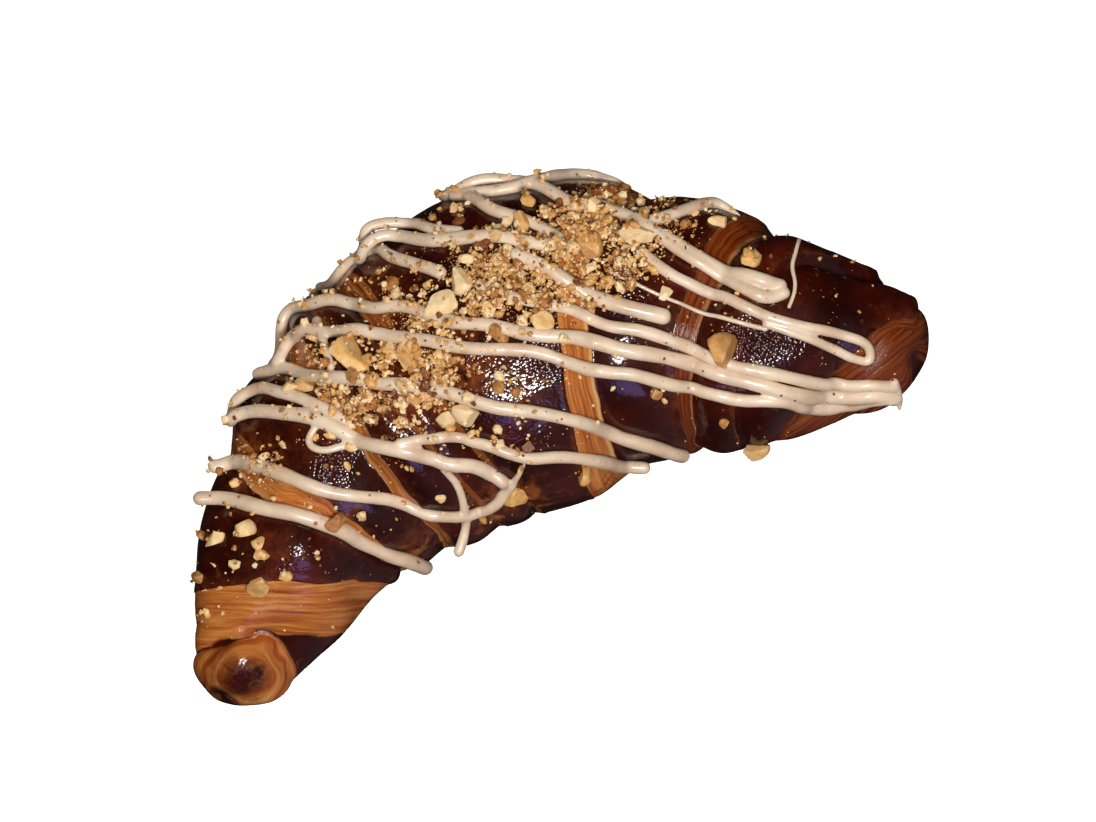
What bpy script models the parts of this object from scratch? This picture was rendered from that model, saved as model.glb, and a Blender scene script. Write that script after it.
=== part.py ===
"""A croissant of dark and pale dough with piped icing and chopped nuts, as one solid.

Metres, +Z up.  The croissant lies on its flat sole at z = 0 with its length along X.  Its
hollow side faces -Y and its rounded back faces +Y.  The roll of dough follows a bent spine.
Each turn of the roll ends in a lip, and below the lip its pale cut edge slopes down to the
turn beneath.  The icing is piped over it in strands, and the larger nut pieces stick to both.
"""
import math
import random
from collections import namedtuple

import bmesh
import bpy
import numpy as np
from mathutils import Vector
from mathutils.bvhtree import BVHTree

NAME = "croissant"
MM = 0.001
SEED = 7

# The spine: two arcs that meet in the middle.  Distance along it is negative to the left.
LEFT_REACH = 86.5 * MM
RIGHT_REACH = 89.5 * MM
LEFT_BEND = math.radians(45)
RIGHT_BEND = math.radians(55)
SPINE_MIDDLE = (-0.9 * MM, 5.7 * MM)

# The sections: widths to the front and to the back of the spine at distances along it, and
# the height where they are widest.
STATIONS = np.array([-76, -60, -44, -28, -12, 4, 20, 36, 52, 66, 78]) * MM
FRONT_WIDTHS = np.array([10.5, 17, 18, 24.5, 29.5, 32.5, 32, 28, 26, 24, 13]) * MM
BACK_WIDTHS = np.array([9.5, 18.5, 26.5, 32, 33, 33.5, 31, 27.5, 19.5, 15, 14]) * MM
HEIGHT = 55 * MM
HEIGHT_POWER = 0.75     # narrower sections are lower, but by less than their width
WIDEST = 0.42           # share of the height at which a section is widest
TOP_ROUNDNESS = 2.15    # superellipse exponents, 2 being an ellipse
SOLE_ROUNDNESS = 2.9
SOLE_SINK = 1.2 * MM    # how much of the underside the flat sole cuts off
LEFT_TIP = 14 * MM      # length over which the section closes to a dome
RIGHT_TIP = 15 * MM
TIP_ROUNDNESS = 2.1
TIP_LIFT = 0.36         # share of the height at which a tip closes

# The turns of the roll.  side is -1 to the left of the middle turn and 1 to its right.  lip is
# the edge's distance along the spine and cut the width of its pale face, in mm, where the edge
# passes the low front, the high front, the top and the back.  drop is the height of the step
# there, and ease says how late the cut face falls away.
Turn = namedtuple("Turn", "side lip cut drop ease")
TURNS = (
    Turn(-1, (-5, -12, -12, -13), (1.5, 2.5, 4.5, 4), (1.2, 1.4, 1.6, 1.6), 1.0),
    Turn(-1, (-15, -20.5, -22, -21.5), (2, 2, 1, 1), (1.0, 1.0, 0.2, 0.2), 1.0),
    Turn(-1, (-27.5, -31.7, -28, -25.5), (3, 3.8, 4.7, 6.5), (1.8, 2.4, 3.2, 4.6), 0.9),
    Turn(-1, (-39, -45, -48.2, -42.5), (2.5, 2.8, 6, 6), (1.6, 2.2, 2.4, 2.6), 0.9),
    Turn(-1, (-45.5, -61, -70.5, -71), (29, 13, 10, 10), (0.6, 2.2, 2.4, 0.8), 4.0),
    Turn(1, (10, 16, 25, 34), (13.5, 9.5, 6, 6.5), (1.8, 2.6, 3.0, 3.5), 1.1),
    Turn(1, (41, 44.5, 51, 56), (1.8, 4.5, 5.5, 4.5), (1.4, 2.2, 2.8, 3.0), 1.0),
    Turn(1, (54, 60, 66, 76.5), (2, 2, 2, 4.5), (0.2, 0.2, 1.2, 4.0), 1.0),
    Turn(1, (59.5, 79, 85.5, 86.5), (3, 3, 1.2, 1.2), (0.8, 1.0, 0.5, 0.3), 1.0),
)
SWELL = 0.9 * MM        # how far a turn bulges between its ends
SETTLE = 1.9            # how quickly a turn rises from the foot of the one above it
FADE_BELOW = 0.95       # the steps are gone where the section's sine is below minus this
FADE_OVER = 0.6         # and are back in full where it is this much higher
# Gentle lumps: length along the spine in mm, waves round the section, phase, height in mm
LUMPS = ((41, 2, 0.4, 0.45), (27, 3, 1.9, 0.35), (19, 1, 3.1, 0.3), (33, 4, 4.4, 0.3))

# The view that the icing is laid out in: a plane that leans back from upright, square to the
# line of sight of somebody who looks at the croissant from the front and above.
SIGHT_ELEVATION = math.radians(52)
SIGHT_DISTANCE = 900 * MM
SIGHT_TARGET = Vector((5.9, -11.3, 22)) * MM
SIGHT_OFFSET = (0.73 * MM, 6.6 * MM)    # where the line of sight meets that plane

# The icing: strands as points in that plane, in mm across and mm up.
STRAND_RADIUS = 1.4 * MM
STRAND_SINK = 0.35      # share of the radius by which a strand lies in the dough
STRAND_STEP = 4.5 * MM
STRAND_CLEAR = 0.3 * MM # the least height of a strand's underside over the ground
STRAND_END = 0.8        # share of the radius at a strand's ends
STRAND_BRIDGE = 0.5     # share of its lift by which a strand stays higher over a dip
STRANDS = {
    "left_first": ((-68.7, 23), (-63.7, 19.6), (-59.1, 15.2), (-53.7, 11), (-48.3, 5.6),
                   (-43.7, 0.6), (-38.7, -5.2), (-35.5, -9)),
    "left_second": ((-63.3, 27.2), (-58.3, 25.8), (-53.7, 21.8), (-49.9, 17.2), (-45.9, 13),
                    (-40.5, 9), (-34.3, 4.8), (-29.9, 0), (-26.1, -2.8), (-20.5, -4.6),
                    (-15.9, -4.2), (-11.1, -2.2), (-7.5, 0)),
    "left_third": ((-56.5, 35), (-51.9, 33.4), (-45.3, 29.6), (-39.5, 24.8), (-37.3, 21),
                   (-32.7, 16.8), (-27.9, 12.6), (-23.3, 8.4), (-19.5, 5.6), (-15.9, 2),
                   (-13.1, -1.4)),
    "left_third_twin": ((-54.1, 37.6), (-49.1, 36.8), (-43.7, 33), (-39.5, 28.4),
                        (-35.5, 23.4)),
    "lower_middle": ((-28.5, 14.6), (-20.5, 12.2), (-14.9, 8.4), (-11.1, 4.8), (-7.5, 0.6),
                     (-1.9, -1.8), (2.9, -5), (7.5, -8.8), (12.7, -12)),
    "middle": ((-47.1, 39.2), (-42.1, 38), (-38.7, 35.4), (-34.3, 32.6), (-28.9, 28.8),
               (-23.9, 25.2), (-19.5, 22.4), (-14.5, 18.8), (-11.1, 15), (-7.5, 11.8),
               (-1.9, 8), (3.7, 3.4), (9.3, -2.2), (14.9, -7.4), (20.5, -13)),
    "long_lower": ((-41.3, 41.6), (-37.9, 43), (-32.9, 41.6), (-28.9, 39.6), (-23.5, 36.8),
                   (-19.7, 33.8), (-14.7, 30.6), (-9.3, 26.2), (-5.1, 23.4), (0.5, 20.6),
                   (5.1, 17.4), (9.3, 12.6), (13.5, 9), (18.3, 6.2), (24.3, 0.6),
                   (28.5, -2.4), (31.7, -4.8), (34.3, -7.8), (38.5, -10.4), (42.7, -12.4),
                   (46.9, -16.2), (52.3, -19.2), (57.9, -20.4), (61.5, -21.4), (62.9, -24.2)),
    "long_middle": ((-39.5, 45.8), (-35.5, 47.8), (-30.5, 46.6), (-26.3, 45), (-23.1, 42.6),
                    (-18.9, 39.6), (-13.5, 37.2), (-11.9, 34.8), (-7.5, 30.4), (-1.1, 26.8),
                    (4.1, 22), (9.5, 18.8), (14.9, 15), (20.1, 10.2), (25.5, 6.4),
                    (30.9, 1.6), (37.1, -4.8), (41.1, -8.2), (44.5, -11.6), (47.7, -14),
                    (51.1, -15.8), (55.3, -18.2), (58.5, -19.1), (61.5, -20.6), (63.3, -22.4)),
    "long_upper": ((0.5, 34.8), (5.3, 29.4), (10.5, 25.2), (14.9, 21.4), (18.5, 16.6),
                   (24.5, 12.4), (28.7, 8), (33.5, 2.8), (37.7, -2.4), (42.7, -6.2),
                   (47.7, -10.4), (52.7, -14), (57.9, -17), (62.9, -19.2), (64.1, -20.4)),
    "blunt": ((9.5, 36.8), (13.7, 31.6), (15.9, 26.8), (20.1, 21.4), (24.5, 17.2),
              (29.7, 12.8)),
    "short_top": ((-20.3, 50.8), (-16.1, 51.2), (-11.9, 47), (-7.5, 42.8), (-5.5, 40.6)),
    "top_first": ((-17.1, 52.4), (-12.9, 53.4), (-9.1, 50.2), (-4.3, 47), (0.9, 44.8),
                  (5.3, 43.2), (9.5, 40.6), (13.7, 36.8), (18.1, 34.8)),
    "top_second": ((-15.1, 55.8), (-8.7, 54), (-5.5, 50.8), (-1.1, 47.6), (1.5, 46)),
    "right_first": ((3.7, 53.4), (7.3, 50.2), (9.5, 46.4), (12.7, 43.8), (15.9, 40),
                    (18.5, 35.8)),
    "right_second": ((4.7, 54), (11.7, 53.4), (14.9, 50.2), (19.1, 47.6), (21.7, 43.8),
                     (24.5, 40), (28.7, 38), (32.5, 33), (35.7, 28.4), (38.9, 23.6),
                     (42.5, 17.6), (46.9, 12.8), (51.1, 9.2), (53.3, 7)),
    "right_upper": ((22.9, 47), (28.7, 44.4), (32.9, 41.6), (35.7, 39)),
    "right_over": ((35.7, 30.4), (41.5, 29.4), (46.9, 28.4), (51.1, 26.2), (52.7, 23.6)),
    "right_hairpin": ((31.7, 25.8), (34.3, 20.4), (37.7, 15.2), (41.1, 11.6), (44.7, 7.4),
                      (48.5, 2.8), (53.1, -1.4), (57.9, -5.2), (61.5, -8.6), (64.1, -12.4),
                      (63.8, -14.2), (62.2, -14.6), (59.8, -12.1), (57, -8.5), (52, -2.9),
                      (47.4, 1.8)),
    "right_loop": ((34.3, 31.6), (36.3, 26.6), (38.9, 21.6), (41.5, 17.4), (44.3, 13.2),
                   (47.2, 9.4), (49.8, 6), (51.6, 5), (53.3, 5.6)),
}
# Strands that turn back over the far side into one another, start to start
FAR_TURNS = (
    ("left_third", "left_third_twin"), ("long_lower", "long_middle"),
    ("top_first", "top_second"), ("right_first", "right_second"),
)
FAR_TURN_REACH = 13.5 * MM
FAR_TURN_POINTS = 4
FAR_SLOPE = Vector((0, 0.8, -0.6))  # the way down the far side
# Strands whose start lies on the far side, how far they run there, and the share by which they
# turn down that side at each step
FAR_RUNS = {"short_top": 13 * MM, "right_upper": 24 * MM}
FAR_PULL = 0.35

# The larger nut pieces: mm across and up in that plane, length and width in mm
NUTS = (
    (-29.1, 33.4, 7.6, 6.4), (-8.7, 34.6, 4.8, 7.6), (-3.1, 37.2, 5.6, 4.4),
    (0.5, 40.6, 4.0, 2.0), (-15.1, 43.2, 3.2, 2.8), (22.9, 32.0, 6.4, 5.0),
    (32.5, 30.0, 7.2, 5.6), (27.7, 39.0, 2.8, 2.8), (13.7, 42.8, 4.0, 4.0),
    (16.5, 45.4, 3.6, 2.8), (36.9, 1.8, 5.2, 6.8), (34.3, -19.2, 5.6, 5.2),
    (50.9, 14.4, 4.0, 3.6), (48.1, 24.4, 3.6, 2.0), (32.3, 16.6, 2.8, 2.8),
    (-66.7, 2.2, 4.4, 4.0), (-47.5, 6.4, 3.6, 4.4), (-69.9, 14.2, 4.4, 3.2),
    (-63.7, 13.4, 4.6, 4.0), (-62.7, 9.8, 2.8, 2.8), (-76.4, 9.4, 2.4, 3.2),
    (-39.9, 33.4, 3.6, 4.4), (-13.9, 14.0, 5.6, 4.4), (-17.5, 14.6, 3.2, 4.8),
    (-18.9, 29.2, 4.8, 4.8), (7.9, 23.0, 4.4, 4.0), (1.1, -7.8, 4.4, 3.6),
    (-12.5, -5.0, 5.2, 5.2), (-6.1, 2.4, 2.6, 2.4),
)
NUT_SIDES = 6           # flat sides cut from each piece
NUT_SIDE_REACH = (0.6, 0.85)
NUT_THICKNESS = (0.6, 0.8)
# Smaller pieces, strewn over the middle: how many, the middle of the patch, its spread, sizes
STREWN = 20
STREWN_MIDDLE = (-4.0, 31.0)
STREWN_SPREAD = (22.0, 9.0)
STREWN_SLOPE = 0.3      # how far the patch runs down to the right
STREWN_SIZES = (2.2, 3.4)
STREWN_WIDTHS = (0.7, 1)    # as shares of the length

# How finely the solid is divided
COLUMNS = 32
ROWS_PER_TURN = 2
ROWS_PER_TIP = 5
MIDDLE_ROWS = 6
POLE_GAP = 0.7 * MM     # the last row's distance from a tip
WELD = 0.01 * MM        # points this near each other are one
STRAND_SIDES = 1        # bevel resolution, 1 for six sides


def smooth_curve(x, knots, values):
    """Cubic Hermite curve through the knots, with each slope taken from its neighbours."""
    slopes = np.gradient(values, knots)
    i = np.clip(np.searchsorted(knots, x) - 1, 0, len(knots) - 2)
    step = knots[i + 1] - knots[i]
    t = np.clip((x - knots[i]) / step, 0, 1)
    start = (1 + 2 * t) * (1 - t) ** 2 * values[i] + t * (1 - t) ** 2 * step * slopes[i]
    end = t ** 2 * (3 - 2 * t) * values[i + 1] - t ** 2 * (1 - t) * step * slopes[i + 1]
    return start + end


def round_the_section(four, angle):
    """A value in mm given at the low front, high front, top and back, smooth round the section.

    Angle 0 faces the front and 90 degrees the top.  The low back follows the low front at half
    its swing, and the underside lies between the two.
    """
    low_front, high_front, top, back = four
    low_back = back + (low_front - high_front) / 2
    under = (low_front + low_back) / 2
    ring = [low_front, high_front, top, back, low_back, under]
    knots = np.radians(np.arange(-150, 391, 60))
    values = np.array(ring[-2:] + ring + ring[:2]) * MM
    turned = np.mod(angle + math.pi / 2, 2 * math.pi) - math.pi / 2
    return smooth_curve(turned, knots, values)


def spine(s):
    """Place on the spine at distance s, and its heading away from the X axis."""
    radius = np.where(s < 0, LEFT_REACH / LEFT_BEND, RIGHT_REACH / RIGHT_BEND)
    heading = s / radius
    x = SPINE_MIDDLE[0] + radius * np.sin(heading)
    y = SPINE_MIDDLE[1] - radius * (1 - np.cos(heading))
    return x, y, heading


def tip_closing(s):
    """Share of the full section at distance s: 1, and down to 0 at a tip."""
    left = (-s - LEFT_REACH + LEFT_TIP) / LEFT_TIP
    right = (s - RIGHT_REACH + RIGHT_TIP) / RIGHT_TIP
    into_tip = np.clip(np.maximum(left, right), 0, 1)
    return (1 - into_tip ** TIP_ROUNDNESS) ** (1 / TIP_ROUNDNESS)


def envelope(s, angle):
    """Smooth outer form: superellipse sections square to the spine, closed to a dome at each tip."""
    x, y, heading = spine(s)
    front = smooth_curve(s, STATIONS, FRONT_WIDTHS)
    back = smooth_curve(s, STATIONS, BACK_WIDTHS)
    closing = tip_closing(s)
    full = HEIGHT * ((front + back) / (FRONT_WIDTHS + BACK_WIDTHS).max()) ** HEIGHT_POWER
    height = full * closing
    cosine, sine = np.cos(angle), np.sin(angle)
    exponent = np.where(sine >= 0, TOP_ROUNDNESS, SOLE_ROUNDNESS)
    across = np.sign(cosine) * np.abs(cosine) ** (2 / exponent) * closing
    across = across * np.where(cosine >= 0, front, back)
    up = np.sign(sine) * np.abs(sine) ** (2 / exponent)
    middle = WIDEST * height
    z = middle + up * np.where(up >= 0, height - middle, middle)
    z = z + TIP_LIFT * (full - height) - SOLE_SINK
    return np.stack([x - np.sin(heading) * across, y - np.cos(heading) * across, z], -1)


def outward(s, angle):
    """Unit normals of the smooth form, from its slopes along and round the roll."""
    step = 0.2 * MM
    turn = math.radians(0.5)
    low = np.maximum(s - step, -LEFT_REACH + POLE_GAP / 4)
    high = np.minimum(s + step, RIGHT_REACH - POLE_GAP / 4)
    along = envelope(high, angle) - envelope(low, angle)
    around = envelope(s, angle + turn) - envelope(s, angle - turn)
    normal = np.cross(along, around)
    return normal / np.linalg.norm(normal, axis=-1, keepdims=True)


def turn_marks(side, angle):
    """Lip, foot and drop of each turn on one side, from the middle outwards, as distances."""
    marks = []
    for turn in TURNS:
        if turn.side == side:
            lip = side * round_the_section(turn.lip, angle)
            cut = round_the_section(turn.cut, angle)
            marks.append((lip, lip + cut, round_the_section(turn.drop, angle), turn.ease))
    return marks


def relief(s, angle):
    """Height of the dough over the smooth form.

    From a lip the cut face falls by the turn's drop to its foot.  From the foot the next turn
    rises again, swells, and is back at the smooth form at its own lip.  The steps fade out
    under the roll.
    """
    height = np.zeros(np.broadcast(s, angle).shape)
    left_lip = -turn_marks(-1, angle)[0][0]
    right_lip = turn_marks(1, angle)[0][0]
    share = np.clip((s - left_lip) / (right_lip - left_lip), 0, 1)
    height += SWELL * np.sin(math.pi * share)
    for side, reach in ((-1, LEFT_REACH), (1, RIGHT_REACH)):
        out = side * s
        marks = turn_marks(side, angle)
        ends = [mark[0] for mark in marks[1:]] + [np.full_like(height, reach)]
        for (lip, foot, drop, ease), end in zip(marks, ends):
            down = np.clip((out - lip) / (foot - lip), 0, 1)
            face = -drop * down ** ease
            rise = np.clip((out - foot) / (end - foot), 0, 1)
            crown = -drop * (1 - rise) ** SETTLE + SWELL * np.sin(math.pi * rise)
            here = (out > lip) & (out <= end)
            height = np.where(here, np.where(out <= foot, face, crown), height)
    for length, waves, phase, size in LUMPS:
        swing = np.sin(2 * math.pi * s / (length * MM) + phase)
        height += size * MM * swing * np.cos(waves * angle + 2 * phase)
    fade = np.clip((np.sin(angle) + FADE_BELOW) / FADE_OVER, 0, 1)
    return height * fade * fade * (3 - 2 * fade)


def dough(s, angle):
    """The dough's surface, cut flat at the sole."""
    raised = relief(s, angle) * np.minimum(tip_closing(s) * 2, 1)
    points = envelope(s, angle) + outward(s, angle) * raised[..., None]
    points[..., 2] = np.maximum(points[..., 2], 0)
    return points


def row_places(angle):
    """Rows of the surface from tip to tip, so that every lip and foot is a row of its own."""
    rows = []
    for side, reach in ((-1, LEFT_REACH), (1, RIGHT_REACH)):
        marks = turn_marks(side, angle)
        places = []
        for i, (lip, foot, _, _) in enumerate(marks):
            places += [lip, foot]
            if i + 1 < len(marks):
                end = marks[i + 1][0]
                shares = np.arange(1, ROWS_PER_TURN) / ROWS_PER_TURN
                places += [foot + (end - foot) * share for share in shares]
        last = places[-1]
        shares = np.sin(np.arange(1, ROWS_PER_TIP + 1) / ROWS_PER_TIP * math.pi / 2)
        places += [last + (reach - POLE_GAP - last) * share for share in shares]
        rows.append([side * place for place in places])
    left, right = rows
    shares = np.arange(1, MIDDLE_ROWS + 1) / (MIDDLE_ROWS + 1)
    middle = [left[0] + (right[0] - left[0]) * share for share in shares]
    return np.stack(left[::-1] + middle + right)


def mesh_object(name, points, faces):
    """A new mesh object in the scene, at the origin."""
    mesh = bpy.data.meshes.new(name)
    mesh.from_pydata(points, [], faces)
    obj = bpy.data.objects.new(name, mesh)
    bpy.context.scene.collection.objects.link(obj)
    return obj


def loft_faces(rows, columns):
    """Quads between neighbouring rows of a closed section, and a fan to each tip's point."""
    faces = []
    left_pole = rows * columns
    for j in range(columns):
        after = (j + 1) % columns
        for i in range(rows - 1):
            low, high = i * columns, (i + 1) * columns
            faces.append((low + j, high + j, high + after, low + after))
        last = (rows - 1) * columns
        faces.append((left_pole, j, after))
        faces.append((left_pole + 1, last + after, last + j))
    return faces


def make_dough():
    """The loft of the dough: rows along the spine, columns round the section."""
    angles = np.arange(COLUMNS) / COLUMNS * 2 * math.pi - math.pi / 2
    places = row_places(angles)
    grid = dough(places, np.broadcast_to(angles, places.shape))
    ends = np.array([-LEFT_REACH + POLE_GAP / 4, RIGHT_REACH - POLE_GAP / 4])
    poles = envelope(ends, np.zeros(2))
    poles[:, 2] = grid[[0, -1], :, 2].mean(axis=1)
    points = np.concatenate([grid.reshape(-1, 3), poles])
    return mesh_object(NAME, points.tolist(), loft_faces(len(places), COLUMNS))


def sight_axes():
    """The sight line's directions across, up and back towards the viewer, and the eye."""
    back = Vector((0, -math.cos(SIGHT_ELEVATION), math.sin(SIGHT_ELEVATION)))
    across = Vector((1, 0, 0))
    return across, back.cross(across), back, SIGHT_TARGET + back * SIGHT_DISTANCE


def sight_ray(place):
    """The eye, and the direction from it through a place in the layout plane."""
    across, up, _, eye = sight_axes()
    on_plane = (SIGHT_TARGET + across * (place[0] - SIGHT_OFFSET[0])
                + up * (place[1] - SIGHT_OFFSET[1]))
    return eye, (on_plane - eye).normalized()


def even_points(points, step):
    """Points about a step apart on a smooth curve through the given ones."""
    points = np.array(points, dtype=float)
    spans = np.linalg.norm(np.diff(points, axis=0), axis=1)
    knots = np.concatenate([[0], np.cumsum(spans)])
    count = max(3, round(knots[-1] / step) + 1)
    places = np.linspace(0, knots[-1], count)
    return np.stack([smooth_curve(places, knots, column) for column in points.T], -1)


def laid_strand(route, surface):
    """A route in the layout plane, dropped along the sight line onto the surface."""
    eye = sight_axes()[3]
    directions = []
    depths = []
    for place in even_points(np.array(route) * MM, STRAND_STEP):
        _, direction = sight_ray(place)
        hit, _, _, depth = surface.ray_cast(eye, direction)
        directions.append(direction)
        depths.append(depth if hit else math.nan)
    depths = np.array(depths)
    known = np.flatnonzero(~np.isnan(depths))
    depths = np.interp(np.arange(len(depths)), known, depths[known])
    return [eye + direction * depth for direction, depth in zip(directions, depths)]


def far_run(points, length, surface):
    """Points over the far side that lead up to a strand's start, straight along the surface."""
    here = points[0]
    heading = (here - points[1]).normalized()
    run = []
    for _ in range(round(length / STRAND_STEP)):
        there, normal, _, _ = surface.find_nearest(here + heading * STRAND_STEP)
        heading = (there - here).normalized() + FAR_SLOPE * FAR_PULL
        heading = (heading - normal * heading.dot(normal)).normalized()
        run.append(there)
        here = there
    return run[::-1]


def far_turn(first, second, surface):
    """Points of a loop over the far side, from the start of one strand to that of another."""
    out = ((first[0] - first[1]).normalized() + FAR_SLOPE) * FAR_TURN_REACH
    back = ((second[0] - second[1]).normalized() + FAR_SLOPE) * FAR_TURN_REACH
    count = FAR_TURN_POINTS + 1
    loop = []
    for i in range(1, count):
        t = i / count
        place = (first[0] * (1 + 2 * t) * (1 - t) ** 2 + second[0] * t * t * (3 - 2 * t)
                 + out * t * (1 - t) ** 2 + back * t * t * (1 - t))
        loop.append(surface.find_nearest(place)[0])
    return loop


def rest_on(points, surface):
    """Strand points smoothed and lifted, so that the strand bridges dips and never sinks."""
    path = np.array(points)
    path[1:-1] = (path[:-2] + 2 * path[1:-1] + path[2:]) / 4
    lift = STRAND_RADIUS * (1 - STRAND_SINK)
    rested = []
    for point in path:
        point = Vector(point)
        foot, normal, _, _ = surface.find_nearest(point)
        height = (point - foot).dot(normal)
        rested.append(foot + normal * max(lift, height + lift * STRAND_BRIDGE))
    rested = np.array(rested)
    rested[:, 2] = np.maximum(rested[:, 2], STRAND_RADIUS + STRAND_CLEAR)
    return rested


def strand_paths(surface):
    """Every strand's path over the dough, with the ones that turn back on the far side joined."""
    laid = {name: laid_strand(route, surface) for name, route in STRANDS.items()}
    for name, length in FAR_RUNS.items():
        laid[name] = far_run(laid[name], length, surface) + laid[name]
    for first, second in FAR_TURNS:
        loop = far_turn(laid[first], laid[second], surface)
        laid[first] = laid[first][::-1] + loop + laid.pop(second)
    return {name: rest_on(points, surface) for name, points in laid.items()}


def make_strand(name, path):
    """A tube of icing along a path, with round-cut ends, as a mesh."""
    curve = bpy.data.curves.new(name, "CURVE")
    curve.dimensions = "3D"
    curve.bevel_depth = STRAND_RADIUS
    curve.bevel_resolution = STRAND_SIDES
    curve.use_fill_caps = True
    spline = curve.splines.new("POLY")
    spline.points.add(len(path) - 1)
    for point, place in zip(spline.points, path):
        point.co = (*place, 1)
    spline.points[0].radius = STRAND_END
    spline.points[-1].radius = STRAND_END
    tube = bpy.data.objects.new(name + "_curve", curve)
    bpy.context.scene.collection.objects.link(tube)
    seen = tube.evaluated_get(bpy.context.evaluated_depsgraph_get())
    mesh = bpy.data.meshes.new_from_object(seen)
    weld = bmesh.new()
    weld.from_mesh(mesh)
    bmesh.ops.remove_doubles(weld, verts=weld.verts, dist=WELD)
    weld.to_mesh(mesh)
    weld.free()
    strand = bpy.data.objects.new(name, mesh)
    strand.matrix_world = tube.matrix_world
    bpy.context.scene.collection.objects.link(strand)
    bpy.data.objects.remove(tube)
    return strand


def nut_chunk(name, place, normal, length, width, draw):
    """An angular chunk: a small ball cut back by random flat sides, sunk by a third."""
    chunk = bmesh.new()
    bmesh.ops.create_icosphere(chunk, subdivisions=1, radius=1)
    sides = []
    for _ in range(NUT_SIDES):
        side = Vector([draw.gauss(0, 1) for _ in range(3)]).normalized()
        sides.append((side, draw.uniform(*NUT_SIDE_REACH)))
    for vert in chunk.verts:
        direction = vert.co.normalized()
        cuts = [far / direction.dot(side) for side, far in sides if direction.dot(side) > far]
        vert.co = direction * min([1.0] + cuts)
    spin = draw.uniform(0, 2 * math.pi)
    along = normal.orthogonal().normalized()
    across = normal.cross(along)
    along, across = (along * math.cos(spin) + across * math.sin(spin),
                     across * math.cos(spin) - along * math.sin(spin))
    thick = (length + width) / 2 * draw.uniform(*NUT_THICKNESS)
    for vert in chunk.verts:
        x, y, z = vert.co
        vert.co = (place + along * (x * length / 2) + across * (y * width / 2)
                   + normal * (z * thick / 2 + thick / 6))
    mesh = bpy.data.meshes.new(name)
    chunk.to_mesh(mesh)
    chunk.free()
    obj = bpy.data.objects.new(name, mesh)
    bpy.context.scene.collection.objects.link(obj)
    return obj


def make_nuts(surface):
    """The larger nut pieces at their places, then the strewn ones, on the dough and the icing."""
    draw = random.Random(SEED)
    pieces = list(NUTS)
    for _ in range(STREWN):
        across = draw.gauss(STREWN_MIDDLE[0], STREWN_SPREAD[0])
        up = draw.gauss(STREWN_MIDDLE[1] - STREWN_SLOPE * across, STREWN_SPREAD[1])
        size = draw.uniform(*STREWN_SIZES)
        pieces.append((across, up, size, size * draw.uniform(*STREWN_WIDTHS)))
    nuts = []
    for i, (across, up, length, width) in enumerate(pieces):
        eye, direction = sight_ray((across * MM, up * MM))
        hit, normal, _, _ = surface.ray_cast(eye, direction)
        if hit:
            nuts.append(nut_chunk(f"nut_{i}", hit, normal, length * MM, width * MM, draw))
    return nuts


def surface_of(objects):
    """One surface for finding places on, made of several objects' faces."""
    points = []
    faces = []
    for obj in objects:
        start = len(points)
        points += [vert.co.copy() for vert in obj.data.vertices]
        faces += [[start + corner for corner in face.vertices] for face in obj.data.polygons]
    return BVHTree.FromPolygons(points, faces)


def keep_outer_shell(mesh):
    """Drop the shells of small hollows that fusing seals, and any scrap that hangs loose."""
    shell = bmesh.new()
    shell.from_mesh(mesh)
    unseen = set(shell.faces)
    islands = []
    while unseen:
        front = [unseen.pop()]
        island = list(front)
        while front:
            face = front.pop()
            near = {other for edge in face.edges for other in edge.link_faces} & unseen
            unseen -= near
            front += near
            island += near
        islands.append(island)
    islands.sort(key=len)
    extra = [face for island in islands[:-1] for face in island]
    bmesh.ops.delete(shell, geom=extra, context="FACES")
    shell.to_mesh(mesh)
    shell.free()


def split_faces(mesh):
    """Divide a mesh's faces into triangles, so that fusing cuts only flat ones."""
    flat = bmesh.new()
    flat.from_mesh(mesh)
    bmesh.ops.triangulate(flat, faces=flat.faces)
    flat.to_mesh(mesh)
    flat.free()


def fuse(body, toppings):
    """Join the toppings to the body as one solid."""
    gathered = bpy.data.collections.new("toppings")
    bpy.context.scene.collection.children.link(gathered)
    split_faces(body.data)
    for piece in toppings:
        split_faces(piece.data)
        bpy.context.scene.collection.objects.unlink(piece)
        gathered.objects.link(piece)
    union = body.modifiers.new("union", "BOOLEAN")
    union.operation = "UNION"
    union.operand_type = "COLLECTION"
    union.collection = gathered
    union.solver = "MANIFOLD"
    seen = body.evaluated_get(bpy.context.evaluated_depsgraph_get())
    fused = bpy.data.meshes.new_from_object(seen)
    body.modifiers.remove(union)
    keep_outer_shell(fused)
    body.data = fused
    for piece in toppings:
        bpy.data.objects.remove(piece)
    bpy.data.collections.remove(gathered)


def crust_material():
    """Baked chocolate dough under a sugar glaze: very dark red-brown and glossy."""
    material = bpy.data.materials.new("chocolate_crust")
    material.use_nodes = True
    shader = material.node_tree.nodes["Principled BSDF"]
    shader.inputs["Base Color"].default_value = (0.055, 0.014, 0.006, 1)
    shader.inputs["Roughness"].default_value = 0.25
    shader.inputs["Metallic"].default_value = 0
    material.diffuse_color = (0.055, 0.014, 0.006, 1)
    return material


def main():
    for obj in list(bpy.data.objects):
        bpy.data.objects.remove(obj)
    body = make_dough()
    bare = surface_of([body])
    strands = [make_strand(name, path) for name, path in strand_paths(bare).items()]
    nuts = make_nuts(surface_of([body] + strands))
    fuse(body, strands + nuts)
    body.data.materials.clear()
    body.data.materials.append(crust_material())
    home = bpy.data.collections.new("chocolate_croissant")
    bpy.context.scene.collection.children.link(home)
    bpy.context.scene.collection.objects.unlink(body)
    home.objects.link(body)


main()
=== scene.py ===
import math
from collections import namedtuple
from itertools import product

import bpy
import numpy as np
from bpy.props import FloatProperty, FloatVectorProperty, IntProperty, PointerProperty
from mathutils import Matrix, Vector
from mathutils.bvhtree import BVHTree


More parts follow.
